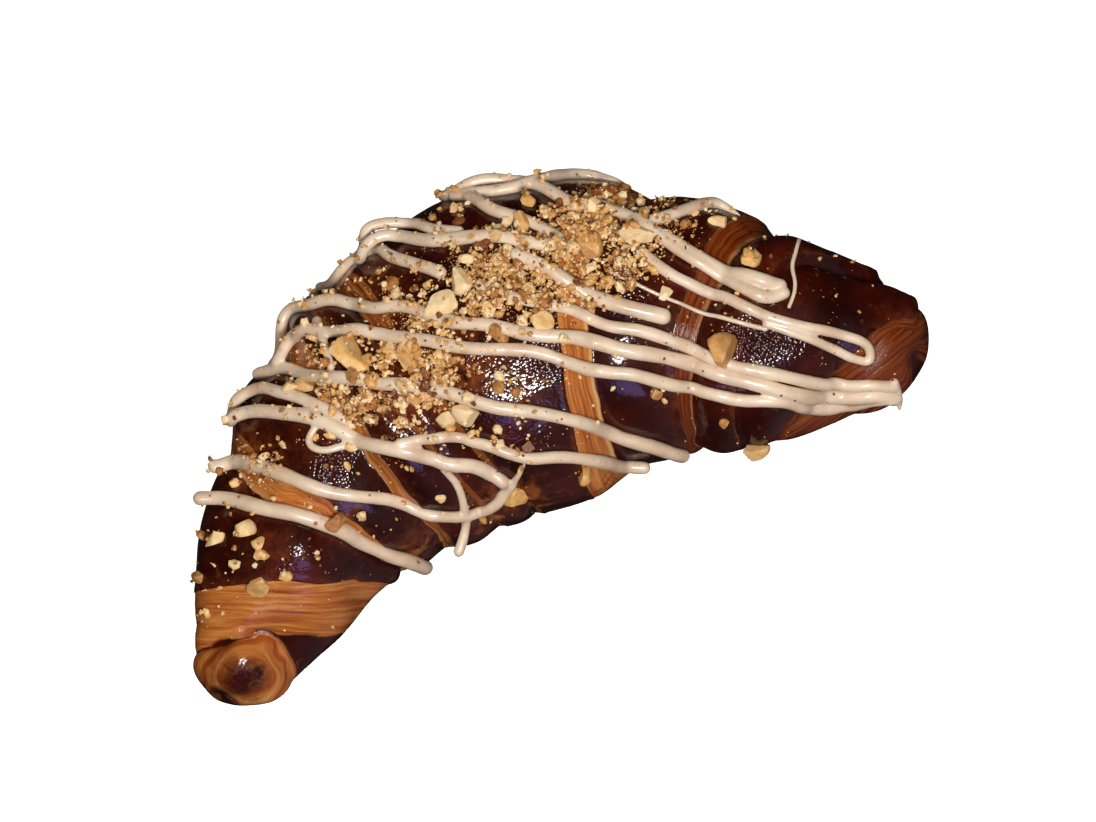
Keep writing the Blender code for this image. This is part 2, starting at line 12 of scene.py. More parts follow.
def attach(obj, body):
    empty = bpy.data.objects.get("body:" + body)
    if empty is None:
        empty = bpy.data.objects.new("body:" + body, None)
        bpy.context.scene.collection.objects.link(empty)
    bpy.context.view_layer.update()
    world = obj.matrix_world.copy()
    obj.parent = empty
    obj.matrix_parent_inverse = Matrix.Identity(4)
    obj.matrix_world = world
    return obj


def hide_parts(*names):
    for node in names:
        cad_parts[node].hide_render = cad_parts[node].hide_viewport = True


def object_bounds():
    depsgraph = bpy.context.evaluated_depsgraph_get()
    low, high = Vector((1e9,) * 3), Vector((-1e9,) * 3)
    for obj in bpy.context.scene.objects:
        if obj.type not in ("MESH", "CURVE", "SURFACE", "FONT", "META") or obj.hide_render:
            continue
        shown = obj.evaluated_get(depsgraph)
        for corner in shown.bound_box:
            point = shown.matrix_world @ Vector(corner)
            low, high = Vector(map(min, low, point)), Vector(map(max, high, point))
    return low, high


bl_info = {
    "name": "Glazed chocolate croissant",
    "version": (1, 0, 0),
    "blender": (4, 5, 0),
    "location": "3D View > Sidebar > Croissant",
    "description": "Layered chocolate dough, piped icing and chopped nuts over the croissant's solid",
    "category": "Object",
}

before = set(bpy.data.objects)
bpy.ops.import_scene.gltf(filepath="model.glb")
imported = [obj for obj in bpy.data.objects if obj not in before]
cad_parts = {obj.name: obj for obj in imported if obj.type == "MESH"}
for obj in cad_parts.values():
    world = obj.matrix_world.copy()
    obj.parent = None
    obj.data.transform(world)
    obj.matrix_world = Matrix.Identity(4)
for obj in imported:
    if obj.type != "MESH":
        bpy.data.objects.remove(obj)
CAD_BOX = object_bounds()

MM = 0.001
BODY = "root"
SOLID = "croissant"

# ---- The dough's form, with the same numbers as the solid ----

LEFT_REACH = 86.5 * MM
RIGHT_REACH = 89.5 * MM
LEFT_BEND = math.radians(45)
RIGHT_BEND = math.radians(55)
SPINE_MIDDLE = (-0.9 * MM, 5.7 * MM)
STATIONS = np.array([-76, -60, -44, -28, -12, 4, 20, 36, 52, 66, 78]) * MM
FRONT_WIDTHS = np.array([10.5, 17, 18, 24.5, 29.5, 32.5, 32, 28, 26, 24, 13]) * MM
BACK_WIDTHS = np.array([9.5, 18.5, 26.5, 32, 33, 33.5, 31, 27.5, 19.5, 15, 14]) * MM
HEIGHT = 55 * MM
HEIGHT_POWER = 0.75
WIDEST = 0.42
TOP_ROUNDNESS = 2.15
SOLE_ROUNDNESS = 2.9
SOLE_SINK = 1.2 * MM
LEFT_TIP = 14 * MM
RIGHT_TIP = 15 * MM
TIP_ROUNDNESS = 2.1
TIP_LIFT = 0.36
POLE_GAP = 0.7 * MM

# The turns of the roll: lip, width of the cut face and drop, in mm, at the low front, the high
# front, the top and the back.  ease is the power by which the cut face falls, layers how many
# layers it shows, hidden how much of it the dark glaze covers, toast how brown it is and rim how
# bright the line along its foot.
Turn = namedtuple("Turn", "side lip cut drop ease layers hidden toast rim")
TURNS = (
    Turn(-1, (-5, -12, -12, -13), (1.5, 2.5, 4.5, 4), (1.2, 1.4, 1.6, 1.6), 1.0, 3, 0.3, 0.6, 0),
    Turn(-1, (-15, -20.5, -22, -21.5), (2, 2, 1, 1), (1, 1, 0.2, 0.2), 1.0, 2, 0.35, 0.7, 0),
    Turn(-1, (-27.5, -31.7, -28, -25.5), (3, 3.8, 4.7, 6.5), (1.8, 2.4, 3.2, 4.6), 0.9,
         3, 0.05, 0.25, 0.5),
    Turn(-1, (-39, -45, -48.2, -42.5), (2.5, 2.8, 6, 6), (1.6, 2.2, 2.4, 2.6), 0.9,
         3, 0.1, 0.2, 0.6),
    Turn(-1, (-45.5, -61, -70.5, -71), (29, 13, 10, 10), (0.6, 2.2, 2.4, 0.8), 4.0,
         8, 0.0, 0.2, 0),
    Turn(1, (10, 16, 25, 34), (13.5, 9.5, 6, 6.5), (1.8, 2.6, 3.0, 3.5), 1.1, 4, 0.0, 0.1, 1.0),
    Turn(1, (41, 44.5, 51, 56), (1.8, 4.5, 5.5, 4.5), (1.4, 2.2, 2.8, 3.0), 1.0,
         4, 0.1, 1.0, 0.4),
    Turn(1, (54, 60, 66, 76.5), (2, 2, 2, 4.5), (0.2, 0.2, 1.2, 4.0), 1.0, 1, 1.0, 0, 0),
    Turn(1, (59.5, 79, 85.5, 86.5), (3, 3, 1.2, 1.2), (0.8, 1.0, 0.5, 0.3), 1.0,
         2, 0.0, 1.0, 0),
)
LEFT_TIP_TURN = 4
RIGHT_TIP_TURN = 8
SWELL = 0.9 * MM                # how far the crust bulges between two lips
SETTLE = 1.9                    # the power by which it rises again from a foot
FADE_BELOW = 0.95               # where the relief fades out under the roll, and how softly
FADE_OVER = 0.6
# Lumps of the roll: length in mm, waves round the section, phase and height in mm
LUMPS = ((41, 2, 0.4, 0.45), (27, 3, 1.9, 0.35), (19, 1, 3.1, 0.3), (33, 4, 4.4, 0.3))

# ---- Finer relief of the crust, which the solid leaves out ----

COLUMNS = 400
UNDERSIDE_SHARE = 0.25          # how densely the columns stand under the roll
ROW_STEP = 0.5 * MM
CUT_STEP = 0.32 * MM            # and on a cut face
WIDE_GAP = 9 * MM               # what a gap has beyond this takes half as many rows
FEWEST_ROWS = 3
# The pieces of the crust, and from which of the row lines to which each runs
CRUST_PIECES = {"crust_left": (0, 6), "crust_middle": (6, 11), "crust_right": (11, 19)}
END_DRAWN_IN = 3 * MM           # how far a piece's hidden end is drawn into it
# A lip's waviness: waves round the section, phase, height in mm
LIP_WAVES = ((5, 0.3, 0.34), (9, 1.7, 0.24), (17, 2.9, 0.13), (31, 4.0, 0.06))
TIP_WAVES = 0.15                # and how much of it the two lips at the tips have
RIDGE = 0.05 * MM               # depth of the grooves between the layers of a cut face
RIM = 0.22 * MM                 # how far a baked lip stands up
# Lumps of the crust, coarse to fine: size and height in mm
CRUST_LUMPS = ((11.0, 0.35), (5.0, 0.16), (2.3, 0.07))
PEBBLE = 2.4 * MM               # size and height of the domes that a crackled glaze has
PEBBLE_HEIGHT = 0.4 * MM
# Where the glaze is crackled: distance along the spine in mm, angle round it in degrees, the
# spread of each, and how strongly
CRACKLED = (
    (-40, 62, 5, 12, 1.0), (-64, 52, 7, 7, 0.55), (-70, 56, 4, 7, 0.35), (-83, 40, 3, 14, 0.45),
    (1, 58, 7, 8, 0.6), (17, 47, 9, 9, 0.75), (64, 52, 10, 10, 1.0), (36, 63, 6, 9, 0.7),
    (-12, 72, 12, 16, 0.7), (12, 80, 16, 14, 0.6), (58, 88, 7, 16, 0.45), (-28, 80, 9, 16, 0.5),
)
# Where the crust is thin and shows warm brown through the glaze, in the same terms
THIN_CRUST = (
    (-11, -2, 9, 9, 0.95), (-36, -6, 6, 10, 0.6), (36, 132, 9, 22, 0.85), (-3, 56, 7, 14, 0.85),
    (-50, 105, 6, 25, 0.7), (-12, 104, 5, 16, 0.6), (24, 80, 6, 10, 0.7), (62, 68, 9, 12, 0.35),
    (-20, 60, 8, 14, 0.6), (-34, 78, 7, 16, 0.6),
    (-47, 35, 5, 15, 0.5), (44, 30, 4, 40, 0.35), (-63, 65, 6, 20, 0.3), (5, 40, 8, 12, 0.4),
)
# Where the lower edge is torn into flakes, and how high the flakes stand
TORN = ((-11, -6, 10, 9, 1.0), (15, -14, 4, 8, 0.7), (-36, -14, 5, 9, 0.7), (-24, -12, 5, 7, 0.6))
FLAKE_HEIGHT = 0.7 * MM
# How far the pale layers of the left tip reach at the four places round the section, in mm
LEFT_PALE_END = (61, 74.5, 79, 81.5)
KNOB_PLACE = (-83.2 * MM, math.radians(30))
KNOB_LAYER = 5.0 * MM           # width of its layers
KNOB_GLAZED = 5.5 * MM          # how far from its middle the glaze fades
BAND_LAYER = 2.2 * MM           # width of the layers on the left tip
TIP_LAYER = 1.1 * MM            # width of the layers on the right tip
TIP_ACROSS = (-0.18, 0.774, 0.605)      # the way from one of them to the next
GRAIN = 1.25 * MM               # length to which one step along a layer corresponds
MOST_TORN = 0.5                 # how pale the torn lower edge gets

# ---- The view that the icing and the nuts are laid out in, and the photograph's own roll ----

SIGHT_ELEVATION = math.radians(52)
SIGHT_DISTANCE = 900 * MM
SIGHT_TARGET = Vector((5.9, -11.3, 22)) * MM
SIGHT_OFFSET = (0.73 * MM, 6.6 * MM)
CAMERA_ROLL = math.radians(27.512)
SENSOR = 36.0
IMAGE_WIDTH = 1096 * 0.2 * MM   # the width that the picture takes in at the target
FLOOR_HALF = 1.6                # half the side of the paper, in metres

# ---- The icing: routes in mm across and up in that view, and thicknesses in mm ----

Strand = namedtuple("Strand", "start end route")
STRANDS = {
    "left_first": Strand(2.9, 3.1, (
        (-68.7, 23), (-63.7, 19.6), (-59.1, 15.2), (-53.7, 11), (-48.3, 5.6), (-43.7, 0.6),
        (-38.7, -5.2), (-35.5, -9))),
    "left_second": Strand(2.8, 2.2, (
        (-63.3, 27.2), (-58.3, 25.8), (-53.7, 21.8), (-49.9, 17.2), (-45.9, 13), (-40.5, 9),
        (-34.3, 4.8), (-29.9, 0), (-26.1, -2.8), (-20.5, -4.6), (-15.9, -4.2), (-11.1, -2.2),
        (-7.5, 0))),
    "left_third": Strand(2.8, 2.9, (
        (-56.5, 35), (-51.9, 33.4), (-45.3, 29.6), (-39.5, 24.8), (-37.3, 21), (-32.7, 16.8),
        (-27.9, 12.6), (-23.3, 8.4), (-19.5, 5.6), (-15.9, 2), (-13.1, -1.4))),
    "left_third_twin": Strand(2.6, 2.2, (
        (-54.1, 37.6), (-49.1, 36.8), (-43.7, 33), (-39.5, 28.4), (-35.5, 23.4))),
    "lower_middle": Strand(2.2, 2.7, (
        (-28.5, 14.6), (-20.5, 12.2), (-14.9, 8.4), (-11.1, 4.8), (-7.5, 0.6), (-1.9, -1.8),
        (2.9, -5), (7.5, -8.8), (12.7, -12))),
    "middle": Strand(2.5, 2.8, (
        (-47.1, 39.2), (-42.1, 38), (-38.7, 35.4), (-34.3, 32.6), (-28.9, 28.8), (-23.9, 25.2),
        (-19.5, 22.4), (-14.5, 18.8), (-11.1, 15), (-7.5, 11.8), (-1.9, 8), (3.7, 3.4),
        (9.3, -2.2), (14.9, -7.4), (20.5, -13))),
    "long_lower": Strand(2.5, 2.6, (
        (-41.3, 41.6), (-37.9, 43), (-32.9, 41.6), (-28.9, 39.6), (-23.5, 36.8), (-19.7, 33.8),
        (-14.7, 30.6), (-9.3, 26.2), (-5.1, 23.4), (0.5, 20.6), (5.1, 17.4), (9.3, 12.6),
        (13.5, 9), (18.3, 6.2), (24.3, 0.6), (28.5, -2.4), (31.7, -4.8), (34.3, -7.8),
        (38.5, -10.4), (42.7, -12.4), (46.9, -16.2), (52.3, -19.2), (57.9, -20.4),
        (61.5, -21.4), (62.9, -24.2))),
    "long_middle": Strand(2.5, 3.2, (
        (-39.5, 45.8), (-35.5, 47.8), (-30.5, 46.6), (-26.3, 45), (-23.1, 42.6), (-18.9, 39.6),
        (-13.5, 37.2), (-11.9, 34.8), (-7.5, 30.4), (-1.1, 26.8), (4.1, 22), (9.5, 18.8),
        (14.9, 15), (20.1, 10.2), (25.5, 6.4), (30.9, 1.6), (37.1, -4.8), (41.1, -8.2),
        (44.5, -11.6), (47.7, -14), (51.1, -15.8), (55.3, -18.2), (58.5, -19.1),
        (61.5, -20.6), (63.3, -22.4))),
    "long_upper": Strand(2.4, 2.5, (
        (0.5, 34.8), (5.3, 29.4), (10.5, 25.2), (14.9, 21.4), (18.5, 16.6), (24.5, 12.4),
        (28.7, 8), (33.5, 2.8), (37.7, -2.4), (42.7, -6.2), (47.7, -10.4), (52.7, -14),
        (57.9, -17), (62.9, -19.2), (64.1, -20.4))),
    "blunt": Strand(2.5, 3.2, (
        (9.5, 36.8), (13.7, 31.6), (15.9, 26.8), (20.1, 21.4), (24.5, 17.2), (29.7, 12.8))),
    "short_top": Strand(2.4, 2.4, (
        (-20.3, 50.8), (-16.1, 51.2), (-11.9, 47), (-7.5, 42.8), (-5.5, 40.6))),
    "top_first": Strand(2.6, 2.5, (
        (-17.1, 52.4), (-12.9, 53.4), (-9.1, 50.2), (-4.3, 47), (0.9, 44.8), (5.3, 43.2),
        (9.5, 40.6), (13.7, 36.8), (18.1, 34.8))),
    "top_second": Strand(2.4, 2.2, (
        (-15.1, 55.8), (-8.7, 54), (-5.5, 50.8), (-1.1, 47.6), (1.5, 46))),
    "right_first": Strand(2.4, 2.4, (
        (3.7, 53.4), (7.3, 50.2), (9.5, 46.4), (12.7, 43.8), (15.9, 40), (18.5, 35.8))),
    "right_second": Strand(2.6, 2.8, (
        (4.7, 54), (11.7, 53.4), (14.9, 50.2), (19.1, 47.6), (21.7, 43.8), (24.5, 40),
        (28.7, 38), (32.5, 33), (35.7, 28.4), (38.9, 23.6), (42.5, 17.6), (46.9, 12.8),
        (51.1, 9.2), (53.3, 7))),
    "right_upper": Strand(2.6, 2.6, ((22.9, 47), (28.7, 44.4), (32.9, 41.6), (35.7, 39))),
    "right_over": Strand(2.4, 2.4, (
        (35.7, 30.4), (41.5, 29.4), (46.9, 28.4), (51.1, 26.2), (52.7, 23.6))),
    "right_hairpin": Strand(2.4, 1.6, (
        (31.7, 25.8), (34.3, 20.4), (37.7, 15.2), (41.1, 11.6), (44.7, 7.4), (48.5, 2.8),
        (53.1, -1.4), (57.9, -5.2), (61.5, -8.6), (64.1, -12.4), (63.8, -14.2), (62.2, -14.6),
        (59.8, -12.1), (57, -8.5), (52, -2.9), (47.4, 1.8))),
    "right_loop": Strand(2.2, 2.5, (
        (34.3, 31.6), (36.3, 26.6), (38.9, 21.6), (41.5, 17.4), (44.3, 13.2), (47.2, 9.4),
        (49.8, 6), (51.6, 5), (53.3, 5.6))),
    "curl": Strand(1.5, 1.3, (
        (-34.9, 17.4), (-39.1, 19.6), (-43.3, 20.2), (-45.3, 22.4), (-43.8, 24.6),
        (-41.5, 25.2))),
    "drip": Strand(1.5, 2.0, (
        (-22.9, 6.2), (-22.3, 2.0), (-23.1, -1.8), (-24.7, -6.0), (-27.9, -9.8))),
    "coated": Strand(1.9, 1.6, ((-32.1, 43.4), (-32.5, 39.6), (-33.3, 34.2))),
    "band_end": Strand(2.1, 1.4, ((64.5, -19.7), (64.1, -21.8), (63.5, -24.0), (63.0, -26.0))),
}
# Threads too thin for the strands' mesh
THREADS = {
    "long_thread": Strand(0.6, 0.9, (
        (25.1, 24.6), (28.5, 20.4), (31.3, 16.6), (34.3, 13.2), (37.3, 9.4), (41.1, 6.4),
        (44.3, 3.2), (46.9, 1.0))),
    "hook_thread": Strand(0.8, 0.7, (
        (60.9, 13.6), (57.9, 11.2), (56.5, 8.2), (56.1, 5.2), (54.5, 3.0), (53.1, 2.8))),
}
FAR_TURNS = (
    ("left_third", "left_third_twin"), ("long_lower", "long_middle"),
    ("top_first", "top_second"), ("right_first", "right_second"),
)
FAR_TURN_REACH = 13.5 * MM
FAR_TURN_POINTS = 4
FAR_SLOPE = Vector((0, 0.8, -0.6))
# Strands whose start lies on the far side, how far they run there, and how soon they turn down
FAR_RUNS = {"short_top": 13 * MM, "right_upper": 24 * MM}
FAR_PULL = 0.35
# Lengths in mm over which a strand's start and end thin out
TAPERS = {"left_second": (0, 12), "long_lower": (3.5, 0), "right_upper": (0, 7),
          "right_over": (0, 6), "band_end": (0, 3)}
LAY_STEP = 4.5 * MM             # between the points of a route that are dropped on the dough
STRAND_STEP = 0.8 * MM          # between the rings of a strand
STRAND_SINK = 0.35              # share of its radius by which a strand is sunk in
ICING_PIECES = {                # which strands melt together
    "icing_left": ("left_first", "left_second", "left_third", "lower_middle", "curl", "drip"),
    "icing_middle": ("middle", "long_lower", "coated", "short_top", "top_first"),
    "icing_right": ("long_upper", "blunt", "right_first", "right_upper", "right_over",
                    "right_hairpin", "right_loop", "band_end"),
}
CROSSING_LIFT = 0.55            # share of its radius by which a strand rises over another
BRIDGED = 0.5                   # share of its lift by which a strand stays higher over a dip
FLOOR_CLEAR = 0.2 * MM          # what stays free between a strand and the ground
# How often a strand's path, normals, heights and the path at rest are smoothed
PATH_ROUNDS, NORMAL_ROUNDS, HEIGHT_ROUNDS, REST_ROUNDS = 6, 14, 12, 3
# Swellings of a strand: the weight and the length in mm of each
SWELLINGS = ((0.6, 9), (0.4, 3.5))
UNEVENNESS = 0.12               # share of the radius that they come to together, at the most
TAPERED_TO = 0.15               # share of the radius at the very end of a taper
TAPER_POWER = 0.8
TUBE_WIDTH, TUBE_HEIGHT = 1.05, 0.97    # as shares of the thickness
RIPPLE = 0.07 * MM              # height and length of the ripples in the set icing
RIPPLE_LENGTH = 2.6 * MM
TUBE_SIDES = 20
THREAD_SIDES = 12
DOME_RINGS = 5

# ---- The nuts: mm across and up in that view, length and width in mm, how roasted ----

LARGE_NUTS = (
    (-29.1, 33.4, 7.6, 6.4, 0.3), (-8.7, 34.6, 4.8, 7.6, 0.12), (-3.1, 37.2, 5.6, 4.4, 0.1),
    (0.5, 40.6, 4.0, 2.0, 0.15), (-15.1, 43.2, 3.2, 2.8, 0.6), (22.9, 32.0, 6.4, 5.0, 0.42),
    (32.5, 30.0, 7.2, 5.6, 0.12), (27.7, 39.0, 2.8, 2.8, 0.2), (13.7, 42.8, 4.0, 4.0, 0.3),
    (16.5, 45.4, 3.6, 2.8, 0.35), (36.9, 1.8, 5.2, 6.8, 0.42), (34.3, -19.2, 5.6, 5.2, 0.28),
    (50.9, 14.4, 4.0, 3.6, 0.3), (48.1, 24.4, 3.6, 2.0, 0.2), (32.3, 16.6, 2.8, 2.8, 0.1),
    (-66.7, 2.2, 4.4, 4.0, 0.3), (-47.5, 6.4, 3.6, 4.4, 0.6), (-69.9, 14.2, 4.4, 3.2, 0.2),
    (-63.7, 13.4, 4.6, 4.0, 0.2), (-62.7, 9.8, 2.8, 2.8, 0.3), (-76.4, 9.4, 2.4, 3.2, 0.5),
    (-39.9, 33.4, 3.6, 4.4, 0.25), (-13.9, 14.0, 5.6, 4.4, 0.1), (-17.5, 14.6, 3.2, 4.8, 0.15),
    (-18.9, 29.2, 4.8, 4.8, 0.3), (7.9, 23.0, 4.4, 4.0, 0.25), (1.1, -7.8, 4.4, 3.6, 0.35),
    (-12.5, -5.0, 5.2, 5.2, 0.35), (-6.1, 2.4, 2.6, 2.4, 0.8), (-43.1, 34.6, 2.4, 3.2, 0.2),
    (-61.5, 22.6, 2.4, 2.4, 0.25), (-26.3, 1.0, 2.0, 2.0, 0.2), (21.5, -0.2, 2.4, 2.4, 0.5),
    (30.9, -11.6, 2.0, 2.0, 0.5), (-37.5, 18.4, 2.4, 2.2, 0.2),
)
# Patches of chopped nuts: the middle and the spread in mm in that view, how many clumps the
# pieces gather in, and how many there are from 1.3 to 3.2 mm, from 0.6 to 1.3 mm and finer
Patch = namedtuple("Patch", "across up spread_across spread_up clumps counts")
PATCHES = (
    Patch(-54, 25, 4, 3.5, 6, (14, 110, 260)), Patch(-34, 27.5, 5, 3, 7, (50, 200, 380)),
    Patch(-24, 21, 5, 3, 8, (55, 240, 420)), Patch(-25.5, 29.5, 5, 3, 8, (50, 260, 500)),
    Patch(-16, 24, 4.5, 3.5, 8, (55, 240, 450)), Patch(-34, 38.5, 5, 2, 6, (8, 90, 200)),
    Patch(-15, 36, 4, 2.5, 5, (14, 150, 500)), Patch(-9, 31.5, 3.5, 4, 6, (34, 200, 420)),
    Patch(-1, 30.5, 4, 3.5, 7, (40, 220, 450)), Patch(1.5, 38, 4, 3.5, 7, (40, 260, 600)),
    Patch(7, 26.5, 4, 3, 6, (28, 150, 300)), Patch(7.5, 37, 4, 3, 7, (40, 260, 600)),
    Patch(14, 32.5, 4, 3.5, 8, (40, 280, 700)), Patch(14.5, 22.5, 4, 2.5, 6, (12, 100, 240)),
    Patch(22.5, 35.5, 3.5, 3, 7, (36, 260, 700)), Patch(22.5, 25.5, 4, 3, 7, (20, 180, 420)),
    Patch(26.5, 40, 3, 2.5, 6, (24, 180, 550)), Patch(29.5, 32.5, 4, 3.5, 8, (44, 300, 900)),
    Patch(28, 25.5, 4, 3, 6, (16, 140, 420)), Patch(35.5, 25.5, 4, 3, 6, (8, 130, 480)),
    Patch(41, 29, 4.5, 2.5, 6, (8, 100, 280)), Patch(-12, 44, 10, 4, 12, (12, 120, 260)),
    Patch(-65, 10, 9, 7, 30, (6, 60, 90)), Patch(-9, 8, 9, 6, 12, (14, 140, 300)),
    Patch(0, 8, 30, 14, 60, (8, 140, 420)), Patch(48, -2, 16, 10, 40, (1, 24, 350)),
    Patch(-45, 8, 16, 12, 40, (5, 60, 300)),
)
AMOUNTS = (1.2, 0.52, 0.3)      # the share of each of those counts that is laid
ON_ICING = 2                    # one piece in so many of those that would lie on the icing stays
ON_NUTS = 8                     # and of those on a large nut piece
CLUMP_SPREAD = 1.0              # spread in mm of the pieces round a clump's middle
CLUMPED = 0.8                   # share of the pieces that gather in clumps
WORN = 80                       # the edges of a chopped piece are the sharper the higher it is
SHARP = math.radians(30)        # edges bent by more than this are creases
LOWEST = 2 * MM                 # no piece on the side in view lies lower than this
LARGE_SCALE = 1.08              # the large pieces are laid larger than listed by this factor
LARGE_MESH = (26, 40)           # rings and columns
LARGE_THICKNESS = (0.6, 0.85)   # as shares of the mean of length and width
# The smaller sizes: shortest and longest in mm, rings and columns of the mesh, and the share of
# a piece's thickness that is sunk in
SMALL_NUTS = {
    "nut_chips": (1.3, 3.2, (4, 6), 0.2),
    "nut_crumbs": (0.6, 1.3, (2, 5), 0.1),
    "nut_dust": (0.25, 0.6, (1, 5), 0.1),
}
SMALL_WIDTH = (0.5, 1)          # as shares of the length
SMALL_THICKNESS = (0.4, 0.85)
MORE_SHORT = 1.6                # short lengths are the more common the higher it is
ROASTS = (1.6, 2.8)             # the beta distribution of how roasted they are
# What lies on the far side: middle, spread and furthest along the spine, angles round it in
# degrees, and how many of each of the smaller sizes
FAR_ALONG = (-5 * MM, 34 * MM, 76 * MM)
FAR_ROUND = (84, 135)
FAR_COUNTS = (30, 200, 300)
FAR_FROM = 4 * MM               # how far outside the smooth form they start to drop


# ---- Small tools ----

def srgb(text):
    """A hex colour as linear red, green and blue."""
    parts = [int(text[i:i + 2], 16) / 255 for i in (1, 3, 5)]
    return [c / 12.92 if c <= 0.04045 else ((c + 0.055) / 1.055) ** 2.4 for c in parts]


def feed(node, inputs):
    """Give a link or a value to each of a node's inputs; a colour is opaque."""
    for name, source in inputs.items():
        socket = node.inputs[name]
        if isinstance(source, bpy.types.NodeSocket):
            node.id_data.links.new(source, socket)
        else:
            socket.default_value = [*source, 1] if socket.type == "RGBA" else source


def add(tree, kind, inputs, stops=(), output=0, **settings):
    """Add a node with its inputs, a ramp's stops and its own settings; return an output of it."""
    made = tree.nodes.new("ShaderNode" + kind)
    for name, value in settings.items():
        setattr(made, name, value)
    feed(made, inputs)
    if stops:
        elements = made.color_ramp.elements
        while len(elements) < len(stops):
            elements.new(1.0)
        for element, (place, colour) in zip(elements, stops):
            element.position = place
            element.color = [*colour, 1]
    return made.outputs[output]


def lattice(cell, seed):
    """A random value from -1 to 1 for each cell: its three whole numbers multiplied and folded."""
    mixed = cell[..., 0] * 374761393 + cell[..., 1] * 668265263 + cell[..., 2] * 1103515245
    mixed = (mixed + seed * 974711) & 0x7FFFFFFF
    mixed = ((mixed ^ (mixed >> 13)) * 1274126177) & 0x7FFFFFFF
    mixed = mixed ^ (mixed >> 16)
    return (mixed & 0xFFFF) / 32767.5 - 1


def soft_noise(points, size, seed):
    """Smooth noise from -1 to 1: the values at a cubic lattice's corners, eased between them."""
    scaled = points / size
    cell = np.floor(scaled).astype(np.int64)
    inside = scaled - cell
    inside = inside * inside * (3 - 2 * inside)
    total = 0
    for corner in product((0, 1), repeat=3):
        weight = np.prod(np.where(corner, inside, 1 - inside), axis=-1)
        total = total + weight * lattice(cell + np.array(corner), seed)
    return total


def pebbles(points, size, seed):
    """Domes packed side by side: 1 minus the squared distance to the nearest jittered point."""
    scaled = points / size
    cell = np.floor(scaled).astype(np.int64)
    nearest = np.full(points.shape[:-1], 9.0)
    for step in product((-1, 0, 1), repeat=3):
        near = cell + np.array(step)
        jitter = np.stack([lattice(near, seed + i) for i in range(3)], -1) * 0.4 + 0.5
        away = np.linalg.norm(near + jitter - scaled, axis=-1)
        nearest = np.minimum(nearest, away)
    return np.clip(1 - nearest ** 2, 0, 1)


def ease(value, low, high):
    """0 below low, 1 above high, and a smooth step between."""
    share = np.clip((value - low) / (high - low), 0, 1)
    return share * share * (3 - 2 * share)


def unit(vectors):
    """The vectors, each divided by its length."""
    return vectors / np.linalg.norm(vectors, axis=-1, keepdims=True)


def run_along(points):
    """How far each point lies along the line through them all."""
    return np.concatenate([[0], np.cumsum(np.linalg.norm(np.diff(points, axis=0), axis=1))])


def place_in_scene(name, data):
    """A new object with this data, linked to the scene."""
    made = bpy.data.objects.new(name, data)
    bpy.context.scene.collection.objects.link(made)
    return made


def new_piece(name, points, polygons, values, material, smooth=True):
    """A mesh object that rides on the solid's body.

    polygons is a list of arrays, each with one row of corners for every face.  values gives a
    number or a vector for each point, by attribute name.
    """
    mesh = bpy.data.meshes.new(name)
    corners = np.concatenate([faces.ravel() for faces in polygons])
    sizes = np.concatenate([np.full(len(faces), faces.shape[1]) for faces in polygons])
    mesh.vertices.add(len(points))
    mesh.vertices.foreach_set("co", inside_box(points).astype(np.float32).ravel())
    mesh.loops.add(len(corners))
    mesh.loops.foreach_set("vertex_index", corners.astype(np.int32))
    mesh.polygons.add(len(sizes))
    starts = np.concatenate([[0], np.cumsum(sizes)[:-1]])
    mesh.polygons.foreach_set("loop_start", starts.astype(np.int32))
    mesh.update(calc_edges=True)
    mesh.polygons.foreach_set("use_smooth", np.full(len(sizes), smooth))
    for key, value in values.items():
        kind, field = ("FLOAT", "value") if value.ndim == 1 else ("FLOAT_VECTOR", "vector")
        attribute = mesh.attributes.new(key, kind, "POINT")
        attribute.data.foreach_set(field, value.astype(np.float32).ravel())
    mesh.materials.append(material)
    piece = place_in_scene(name, mesh)
    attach(piece, BODY)
    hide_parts(SOLID)
    return piece


def inside_box(points):
    """The points, none of them outside the solid's box."""
    return np.clip(points, np.array(CAD_BOX[0]), np.array(CAD_BOX[1]))


def threes(rows, key, kind=np.float32):
    """The three numbers that a mesh keeps under one key for each of its rows."""
    values = np.zeros(len(rows) * 3, kind)
    rows.foreach_get(key, values)
    return values.reshape(-1, 3)


def surface_of(names):
    """One surface for finding places on, made of the named objects' faces."""
    points = []
    faces = []
    start = 0
    for name in names:
        mesh = bpy.data.objects[name].data
        mesh.calc_loop_triangles()
        faces.append(threes(mesh.loop_triangles, "vertices", np.int32) + start)
        points.append(threes(mesh.vertices, "co").astype(float))
        start += len(mesh.vertices)
    return BVHTree.FromPolygons(np.concatenate(points).tolist(),
                                np.concatenate(faces).tolist())


# ---- The dough ----

def smooth_curve(x, knots, values):
    """Cubic Hermite curve through the knots, with each slope taken from its neighbours."""
    slopes = np.gradient(values, knots)
    i = np.clip(np.searchsorted(knots, x) - 1, 0, len(knots) - 2)
    step = knots[i + 1] - knots[i]
    t = np.clip((x - knots[i]) / step, 0, 1)
    start = (1 + 2 * t) * (1 - t) ** 2 * values[i] + t * (1 - t) ** 2 * step * slopes[i]
    end = t ** 2 * (3 - 2 * t) * values[i + 1] - t ** 2 * (1 - t) * step * slopes[i + 1]
    return start + end


def round_the_section(four, angle):
    """A value in mm given at the low front, high front, top and back, smooth round the section."""
    low_front, high_front, top, back = four
    low_back = back + (low_front - high_front) / 2
    under = (low_front + low_back) / 2
    ring = [low_front, high_front, top, back, low_back, under]
    knots = np.radians(np.arange(-150, 391, 60))
    values = np.array(ring[-2:] + ring + ring[:2]) * MM
    turned = np.mod(angle + math.pi / 2, 2 * math.pi) - math.pi / 2
    return smooth_curve(turned, knots, values)


